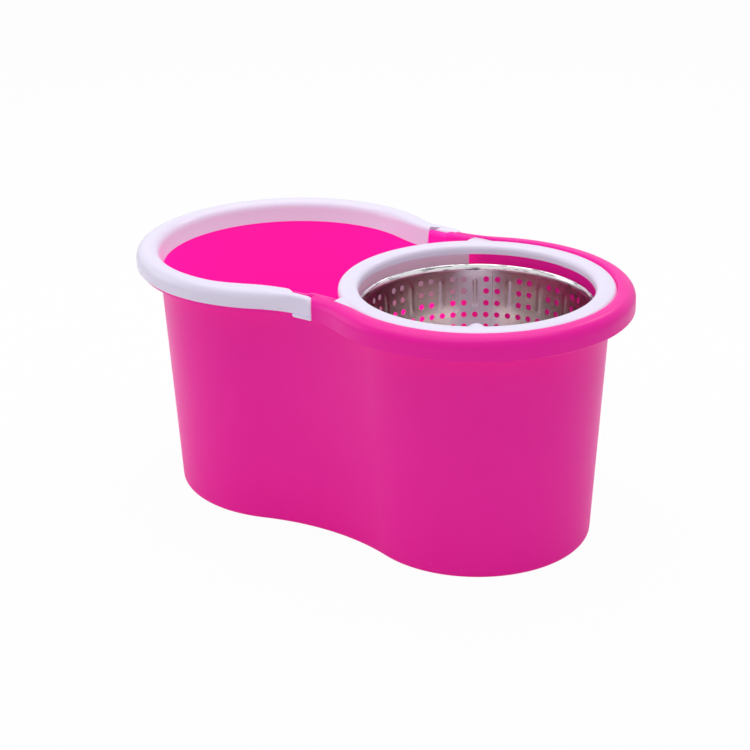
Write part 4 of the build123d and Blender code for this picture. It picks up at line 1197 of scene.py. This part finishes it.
# ---- basket ----------------------------------------------------------------------------------
@dataclass(frozen=True)
class Basket:
    """Perforated steel basket: pierced and ribbed wall with a rolled hem, and a pierced floor pan."""

    datum: Datum
    low_z: float
    top_z: float
    rim_radius: float
    steel: float = 0.8 * MM
    hem_width: float = 3.2 * MM
    hem_height: float = 5.5 * MM
    hem_lift: float = 1.3 * MM
    flare_height: float = 5.2 * MM
    flare_bulge: float = 0.3 * MM
    taper: float = 3.4
    row_drop: float = 12.1 * MM
    pitch: float = 10.9 * MM
    periods: int = 20
    start: float = 116.0
    rows: tuple = ((-1, 1), (-1, 1), (-1, 1), (-1, 1, 3), (-1, 1))
    hole: float = 2.6 * MM
    cell_side: int = 8
    rib_width: float = 4.6 * MM
    rib_height: float = 27.0 * MM
    rib_rise: float = 0.35 * MM
    rib_drop: float = 12.5 * MM
    corner: float = 10.0 * MM
    overlap: float = 5.0 * MM
    bore: float = 16.3 * MM
    ring_radii: tuple = (48.0 * MM, 60.0 * MM, 72.0 * MM)
    ring_counts: tuple = (12, 16, 20)
    ring_half: float = 6.0 * MM
    floor_around: int = 480

    def wall_radius(self, z: np.ndarray) -> np.ndarray:
        """Middle of the wall's sheet: the top radius less (top - z) * tan(taper)."""
        top = self.rim_radius - self.hem_width + self.steel / 2.0
        return top - (self.top_z - z) * math.tan(math.radians(self.taper))

    def rib(self, across: np.ndarray, z: np.ndarray) -> np.ndarray:
        """How far the embossed ribs stand in: a raised cosine of the distance to each rib's middle line.

        Args:
            across: Distance round the wall from the rib's middle.
            z: Height.
        """
        middle = self.top_z - self.row_drop - self.rib_drop
        straight = (self.rib_height - self.rib_width) / 2.0
        above = np.maximum(np.abs(z - middle) - straight, 0.0)
        share = np.clip(np.hypot(across, above) / (self.rib_width / 2.0), 0.0, 1.0)
        return self.rib_rise * np.clip(0.62 * (1.0 + np.cos(math.pi * share)), 0.0, 1.0)

    def _on_wall(self, turn: np.ndarray, z: np.ndarray) -> np.ndarray:
        """Wall point at a direction, in periods from the pattern's start, and a height."""
        across = (np.mod(turn - 0.5 + 0.5, 1.0) - 0.5) * TAU / self.periods * self.wall_radius(z)
        radius = self.wall_radius(z) - self.rib(across, z)
        angle = math.radians(self.start) + turn * TAU / self.periods
        return self.datum.around_spin(radius, z, angle)

    @staticmethod
    def _square(side: int) -> np.ndarray:
        """Points round the unit square from -1 to 1, a given number to each side."""
        run = np.linspace(-1.0, 1.0, side, endpoint=False)
        one = np.ones(side)
        return np.concatenate([np.stack(p, -1) for p in ((run, -one), (one, run), (-run, one), (-one, -run))])

    def pierced_wall(self, skin: Skin) -> None:
        """Adds the wall's cells: a ring of quads round each hole, and a small grid where there is none.

        A cell is a sixth of a period each way and half a pitch each way about its middle.
        """
        square = self._square(self.cell_side)
        turn = np.arctan2(square[:, 1], square[:, 0])
        half = np.array([1.0 / 6.0, self.pitch / 2.0])
        width = self.wall_radius(self.top_z - 3 * self.pitch) * TAU / self.periods / 6.0
        reach = np.array([self.hole / width, self.hole / (self.pitch / 2.0)])
        circle = np.stack([np.cos(turn), np.sin(turn)], -1) * reach
        grid = np.linspace(-1.0, 1.0, self.cell_side + 1)
        for row, holes in enumerate(self.rows):
            z_middle = self.top_z - self.row_drop - row * self.pitch
            for column in (-1, 1, 3):
                turns = (np.arange(self.periods) + column / 6.0)[:, None, None]
                if column in holes:
                    for near, far in ((0.0, 0.5), (0.5, 1.0)):
                        flat = np.stack([circle + (square - circle) * s for s in (near, far)]) * half
                        for cell in self._on_wall(turns + flat[..., 0], z_middle + flat[..., 1]):
                            skin.grid(cell, wrap_columns=True)
                else:
                    across, up = np.meshgrid(grid * half[0], grid * half[1])
                    for cell in self._on_wall(turns + across, z_middle + up):
                        skin.grid(cell)

    def plain_wall(self, skin: Skin) -> None:
        """Adds the bare bands over and under the cells, and the flared hem, rolled out and down."""
        count = self.periods * 3 * self.cell_side
        turns = np.arange(count) / count * self.periods - 1.0 / 3.0
        upper = self.top_z - self.row_drop + self.pitch / 2.0
        lower = upper - self.pitch * len(self.rows)
        bottom = self.low_z + self.corner
        top = self.top_z + self.hem_lift - self.steel / 2.0
        outer, roll = self.rim_radius - self.steel / 2.0, 0.8 * MM
        plain = np.linspace(upper, top - self.flare_height, 3)
        root = np.array([float(self.wall_radius(plain[-1])), plain[-1]])
        crest = np.array([outer - roll * 1.6, top - roll * 0.4])
        along = (crest - root) / np.linalg.norm(crest - root)
        middle = (root + crest) / 2.0 + self.flare_bulge * np.array([-along[1], along[0]])
        hem = np.concatenate([
            np.stack([self.wall_radius(plain[:-1]), plain[:-1]], -1),
            arc_through(tuple(root), tuple(middle), tuple(crest), 9),
            arc((outer - roll, top - roll), roll, 90.0, 0.0, 6),
            [[outer, top - self.hem_height + 1.4 * MM]],
            arc((outer - roll, top - self.hem_height + 1.2 * MM), roll, -10.0, -130.0, 4),
        ])
        angle = math.radians(self.start) + turns * TAU / self.periods
        skin.grid(self.datum.around_spin(hem[:, :1], hem[:, 1:], angle[None, :]), wrap_columns=True)
        skin.grid(self._on_wall(turns[None, :], np.linspace(lower, bottom, 8)[:, None]), wrap_columns=True)

    def build_wall(self) -> bpy.types.Object:
        """Makes the wall as a sheet and gives it the steel's thickness."""
        skin = Skin("basket_wall_sheet")
        self.pierced_wall(skin)
        self.plain_wall(skin)
        return thickened(skin.piece(SHEET_SHARP), self.steel)

    def pierced_floor(self, skin: Skin) -> None:
        """Adds the floor's rings of cells, each cell a ring of quads round its hole.

        A cell's outline has as many points along its arcs as makes floor_around of them in every ring.
        """
        d = self.datum
        for radius, count in zip(self.ring_radii, self.ring_counts):
            along, across = self.floor_around // count, 4
            sweep = np.linspace(-0.5, 0.5, along, endpoint=False)
            climb = np.linspace(-1.0, 1.0, across, endpoint=False)
            turn = np.concatenate([sweep, np.full(across, 0.5), -sweep, np.full(across, -0.5)])
            reach = np.concatenate([np.full(along, -1.0), climb, np.full(along, 1.0), -climb])
            for k in range(count):
                middle = TAU * k / count
                angle = middle + turn * TAU / count
                r = radius + reach * self.ring_half
                edge = np.stack([r * np.cos(angle), r * np.sin(angle)], -1)
                centre = radius * np.array([math.cos(middle), math.sin(middle)])
                offset = edge - centre
                circle = centre + self.hole * offset / np.linalg.norm(offset, axis=1)[:, None]
                rows = np.stack([circle, circle + (edge - circle) * 0.4, edge])
                flat = np.concatenate([rows + np.array([d.spin_x, 0.0]),
                                       np.full(rows.shape[:2] + (1,), self.low_z + self.steel / 2.0)], -1)
                skin.grid(flat, wrap_columns=True)

    def build_floor(self) -> bpy.types.Object:
        """Makes the pan: pierced rings, the flat round the hub, the rounded corner and the edge."""
        skin = Skin("basket_floor_pan")
        self.pierced_floor(skin)
        middle = self.low_z + self.steel / 2.0
        inner, outer = self.ring_radii[0] - self.ring_half, self.ring_radii[-1] + self.ring_half
        angle = np.linspace(0.0, TAU, self.floor_around, endpoint=False) - math.pi / self.ring_counts[0]
        radii = np.linspace(self.bore, inner, 6)
        skin.grid(self.datum.around_spin(radii[:, None], middle, angle[None, :]), wrap_columns=True)
        wall = float(self.wall_radius(middle)) - self.steel
        bend = self.corner - self.steel / 2.0
        edge_z = self.low_z + self.corner + self.overlap
        lean = 90.0 - self.taper
        profile = np.concatenate([
            [[outer, middle], [wall - bend - 2.0 * MM, middle]],
            arc((wall - bend, middle + bend), bend, 270.0, 270.0 + lean, 9),
            [[float(self.wall_radius(edge_z)) - self.steel, edge_z]],
        ])
        angle = np.linspace(0.0, TAU, self.floor_around, endpoint=False) - math.pi / self.ring_counts[-1]
        skin.grid(self.datum.around_spin(profile[:, :1], profile[:, 1:], angle[None, :]), wrap_columns=True)
        return thickened(skin.piece(SHEET_SHARP), self.steel)


@dataclass(frozen=True)
class Hub:
    """White post in the middle of the basket and its domed cap."""

    datum: Datum
    low_z: float
    flange_low_z: float
    top_z: float
    cap_top_z: float
    flange: float
    post: float
    flange_thickness: float = 4.0 * MM
    cone: float = 24.0 * MM
    post_length: float = 20.0 * MM
    spigot: float = 16.0 * MM
    seat: float = 11.05 * MM
    bore: float = 9.5 * MM
    seat_depth: float = 7.2 * MM
    spigot_length: float = 3.4 * MM
    dome: float = 8.5 * MM
    nub: float = 9.85 * MM
    wall: float = 2.2 * MM

    def _turned(self, name: str, profile: np.ndarray) -> bpy.types.Object:
        """Surface of revolution of a closed (radius, z) profile about the spin axis."""
        angle = np.linspace(0.0, TAU, 96, endpoint=False)
        skin = Skin(name)
        points = self.datum.around_spin(profile[:, :1], profile[:, 1:], angle[None, :])
        skin.grid(points, wrap_rows=True, wrap_columns=True)
        return skin.piece()

    def build_column(self) -> bpy.types.Object:
        """The post: flange, coved cone, upright barrel and the two bearing seats inside."""
        base, top = self.flange_low_z, self.top_z
        flange_top = base + self.flange_thickness
        barrel = top - self.post_length
        cove = arc_through((self.cone, flange_top + 2.0 * MM), (self.post + 2.6 * MM, flange_top + 11.0 * MM),
                           (self.post, barrel), 12)
        outside = np.concatenate([
            [[self.spigot, self.low_z], [self.spigot, base],
             [self.flange - 0.4 * MM, base], [self.flange, base + 0.4 * MM]],
            arc((self.flange - 1.2 * MM, flange_top - 1.2 * MM), 1.2 * MM, 0.0, 90.0, 5), cove,
            [[self.post, top - 0.3 * MM], [self.post - 0.3 * MM, top]],
        ])
        upper, lower = top - self.seat_depth - self.spigot_length, self.low_z + self.seat_depth
        inside = np.array([[self.seat, top], [self.seat, upper], [self.bore, upper],
                           [self.bore, lower], [self.seat, lower], [self.seat, self.low_z]])
        return self._turned("hub_post", np.concatenate([outside, inside]))

    def build_cap(self) -> bpy.types.Object:
        """The cap: upright edge, hollow shoulder, round nub on top, and the spigot below."""
        top, low = self.cap_top_z, self.top_z
        edge = top - self.dome
        nub = arc((0.0, top - self.nub), self.nub, 90.0, 30.0, 14)
        nub[0, 0] = 0.0
        hollow = (0.55 * nub[-1, 0] + 0.45 * self.post, nub[-1, 1] * 0.35 + (edge + 0.2 * MM) * 0.65)
        brim = (self.post - 0.4 * MM, edge + 0.25 * MM)
        dome = np.concatenate([nub, arc_through(tuple(nub[-1]), hollow, brim, 7)[1:]])
        shoulder = np.array([[self.post, edge + 0.2 * MM], [self.post, low + 0.3 * MM],
                             [self.post - 0.3 * MM, low]])
        spigot = self.seat - 0.1 * MM
        end = low - self.spigot_length
        under = np.array([[spigot, low], [spigot, end + 0.4 * MM], [spigot - 0.4 * MM, end],
                          [spigot - self.wall, end], [spigot - self.wall, edge],
                          [0.0, top - 2.0 * self.wall]])
        angle = np.linspace(0.0, TAU, 96, endpoint=False)
        profile = np.concatenate([dome, shoulder, under])
        skin = Skin("hub_dome_cap")
        skin.grid(self.datum.around_spin(profile[:, :1], profile[:, 1:], angle[None, :]), wrap_columns=True)
        return skin.piece()


# ---- scene -----------------------------------------------------------------------------------
@dataclass(frozen=True)
class Studio:
    """Pale floor, white surroundings, soft lamps and the camera."""

    azimuth: float = 37.57
    elevation: float = 22.4
    distance: float = 1.5827
    roll: float = -0.94
    lens: float = 85.57
    target: tuple[float, float, float] = (-0.00467, 0.0, 0.11603)
    fill: float = 0.38
    reflected: float = 0.72
    floor_white: float = 0.97
    floor_side: float = 6.0
    lamp_aim: tuple[float, float, float] = (0.0, 0.0, 0.12)

    def camera(self) -> None:
        """Aims the camera: back is (sin az cos el, -cos az cos el, sin el), turned by the roll."""
        az, el, roll = (math.radians(v) for v in (self.azimuth, self.elevation, self.roll))
        back = Vector((math.sin(az) * math.cos(el), -math.cos(az) * math.cos(el), math.sin(el)))
        right = Vector((math.cos(az), math.sin(az), 0.0))
        up = back.cross(right)
        tilted_right = right * math.cos(roll) + up * math.sin(roll)
        tilted_up = up * math.cos(roll) - right * math.sin(roll)
        matrix = Matrix((tilted_right, tilted_up, back)).transposed().to_4x4()
        matrix.translation = Vector(self.target) + back * self.distance
        data = bpy.data.cameras.new("view")
        data.lens = self.lens
        data.sensor_width = 36.0
        camera = bpy.data.objects.new("view", data)
        camera.matrix_world = matrix
        bpy.context.scene.collection.objects.link(camera)
        bpy.context.scene.camera = camera

    def world(self) -> None:
        """White to the camera, and a softer white as light and in reflections."""
        g = Graph(bpy.data.worlds.new("surroundings"), "ShaderNodeOutputWorld")
        seen = g.node("ShaderNodeLightPath", output="Is Camera Ray")
        mirrored = g.node("ShaderNodeLightPath", output="Is Glossy Ray")
        level = self.fill + mirrored * (self.reflected - self.fill)
        strength = seen + (1.0 - seen) * level
        inputs = {"Color": colour(1.0, 1.0, 1.0), "Strength": strength}
        bpy.context.scene.world = g.surface(g.node("ShaderNodeBackground", None, inputs))

    def lamp(self, name: str, place: tuple[float, float, float], size: float, power: float) -> None:
        """Adds a square area lamp that faces the bucket."""
        data = bpy.data.lights.new(name, "AREA")
        data.size = size
        data.energy = power
        lamp = bpy.data.objects.new(name, data)
        turn = (Vector(self.lamp_aim) - Vector(place)).to_track_quat("-Z", "Y")
        lamp.matrix_world = Matrix.Translation(place) @ turn.to_matrix().to_4x4()
        bpy.context.scene.collection.objects.link(lamp)

    def floor(self) -> None:
        """Pale floor: nearly white to the camera, and it keeps a soft shadow."""
        mesh = bpy.data.meshes.new("floor")
        side = self.floor_side
        corners = [(-side, -side, 0.0), (side, -side, 0.0), (side, side, 0.0), (-side, side, 0.0)]
        mesh.from_pydata(corners, [], [(0, 1, 2, 3)])
        floor = bpy.data.objects.new("floor", mesh)
        bpy.context.scene.collection.objects.link(floor)
        g = Graph(bpy.data.materials.new("floor_paper"))
        lit = g.node("ShaderNodeBsdfDiffuse", None, {"Color": colour(0.92, 0.92, 0.92)})
        white = g.node("ShaderNodeEmission", None, {"Color": colour(1.0, 1.0, 1.0), "Strength": 1.0})
        seen = g.node("ShaderNodeLightPath", output="Is Camera Ray") * self.floor_white
        mesh.materials.append(g.surface(g.node("ShaderNodeMixShader", None, {0: seen, 1: lit, 2: white})))
        floor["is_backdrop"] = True

    def build(self) -> None:
        """Sets up the whole studio."""
        self.camera()
        self.world()
        self.lamp("lamp_over", (-0.2, 0.1, 1.7), 2.0, 19.0)
        self.lamp("lamp_left", (-1.7, -0.8, 0.7), 0.9, 3.0)
        self.lamp("lamp_glint", (0.1, 1.1, 1.2), 0.25, 1.5)
        self.floor()
        bpy.context.scene.view_settings.view_transform = "Standard"


@dataclass(frozen=True)
class Finishes:
    """Every finish of the object, made once."""

    datum: Datum
    hem_z: float

    def pink(self) -> Moulding:
        """The bucket's pink, with painted light as emission, stronger in the bowl."""
        base = colour(0.90, 0.004, 0.34)
        # painted light: emission brightens the pink, more in the bowl
        return Moulding("pink_plastic", base=base, deep=colour(0.86, 0.003, 0.31),
                        scuff=colour(0.90, 0.10, 0.42), gloss=0.30, sheen=0.25,
                        painted_glow=colour(0.16, 0.005, 0.085), painted_bowl_glow=colour(0.30, 0.009, 0.21),
                        thin_or_painted_shade=base, painted_shade_top=0.0, scuff_top=0.03)

    def white(self) -> Moulding:
        """The handle's and hub's white, faintly violet."""
        # painted light: emission brightens the white plastic, standing in for light scattered in it
        base, painted_glow = colour(0.81, 0.76, 0.93), colour(0.11, 0.10, 0.13)
        return Moulding("white_plastic", base=base, deep=colour(0.785, 0.735, 0.91),
                        scuff=colour(0.70, 0.68, 0.72), gloss=0.22, sheen=0.5, painted_glow=painted_glow, painted_bowl_glow=painted_glow,
                        thin_or_painted_shade=base, painted_shade_top=0.0, scuff_top=0.03)

    def ring(self) -> Moulding:
        """The splash ring's white, with a painted shade below the ledge's height: the skirt and the locating
        wall get a pink-grey colour for shade and reflected pink.
        """
        # painted shade: pink-grey on the skirt and locating wall, standing in for shade and the tub's
        # reflected pink
        return replace(self.white(), name="ring_plastic", thin_or_painted_shade=colour(0.80, 0.47, 0.58),
                       painted_shade_top=self.datum.ledge_z + 0.5 * MM)

    def sheet(self) -> Steel:
        """The basket's wall: upright lines, a weld and a burnished hem with painted reflection."""
        return Steel("basket_steel", colour(0.64, 0.56, 0.55), colour(0.50, 0.42, 0.42), 0.10, 0.08,
                     Grain.UPRIGHT, 0.00005, self.datum.spin_x, seam=2.022, polish_z=self.hem_z)

    def pan(self) -> Steel:
        """The basket's floor, spun, so its lines run round."""
        return Steel("basket_pan_steel", colour(0.78, 0.74, 0.75), colour(0.66, 0.61, 0.63), 0.12, 0.10,
                     Grain.ROUND, 0.0001, self.datum.spin_x)

    def ground(self) -> Steel:
        """The turned and ground steel of the spindle and the bearings."""
        return Steel("bearing_steel", colour(0.56, 0.56, 0.58), colour(0.42, 0.42, 0.44), 0.22, 0.12,
                     Grain.ROUND, 0.00005, self.datum.spin_x)


def dress(piece: bpy.types.Object, material: bpy.types.Material, body: str, slot: str,
          *nodes: str) -> set[str]:
    """Gives a new piece its finish and body, and hides the CAD nodes that it stands for.

    Returns:
        The names of those nodes.
    """
    piece.data.materials.append(material)
    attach(piece, body)
    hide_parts(*nodes)
    LOG.info("%s: %d faces for %s", piece.name, len(piece.data.polygons), ", ".join(nodes))
    return set(nodes)


def main() -> None:
    """Builds every piece, dresses the nodes that stay and sets up the studio."""
    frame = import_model()
    datum = Datum.from_frame(frame)
    wall_low, wall_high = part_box("basket_wall")
    floor_low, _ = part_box("basket_floor")
    hub_low, hub_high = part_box("hub_column")
    _, cap_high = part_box("hub_cap")

    finishes = Finishes(datum, hem_z=wall_high[2] - 4.4 * MM)
    pink, white, ring_white = finishes.pink().build(), finishes.white().build(), finishes.ring().build()
    sheet, pan, ground = finishes.sheet().build(), finishes.pan().build(), finishes.ground().build()
    rubber = Rubber().build()

    replaced = dress(Bucket(datum).build(), pink, "bucket", "pink_plastic", "bucket_body", "spindle_tower")
    replaced |= dress(bevelled(Handle(datum).build(), 0.35 * MM), white, "handle", "white_plastic",
                      "carry_handle")
    replaced |= dress(SplashRing(datum).build(), ring_white, "splash_ring", "white_plastic",
                      "splash_ring", "splash_skirt")

    basket = Basket(datum, low_z=floor_low[2], top_z=wall_high[2],
                    rim_radius=(wall_high[1] - wall_low[1]) / 2.0)
    replaced |= dress(basket.build_wall(), sheet, "basket", "basket_steel", "basket_wall")
    replaced |= dress(basket.build_floor(), pan, "basket", "basket_steel", "basket_floor")

    hub = Hub(datum, low_z=hub_low[2], flange_low_z=floor_low[2] + basket.steel, top_z=hub_high[2],
              cap_top_z=cap_high[2], flange=hub_high[1], post=cap_high[1])
    replaced |= dress(hub.build_column(), white, "basket", "white_plastic", "hub_column")
    replaced |= dress(hub.build_cap(), white, "basket", "white_plastic", "hub_cap")

    by_slot = {"white_plastic": white, "basket_steel": sheet, "bearing_steel": ground,
               "gasket_rubber": rubber, "pink_plastic": pink}
    for part in frame["record"]["subparts"]:
        if part["node"] not in replaced:
            node = frame["nodes"][part["node"]]
            node.data.materials.clear()
            node.data.materials.append(by_slot[part["material_slot"]])
            LOG.info("%s: finish %s", part["node"], part["material_slot"])

    Studio().build()


if __name__ == "__main__":
    logging.basicConfig(level=logging.INFO, format="%(name)s: %(message)s")
    main()
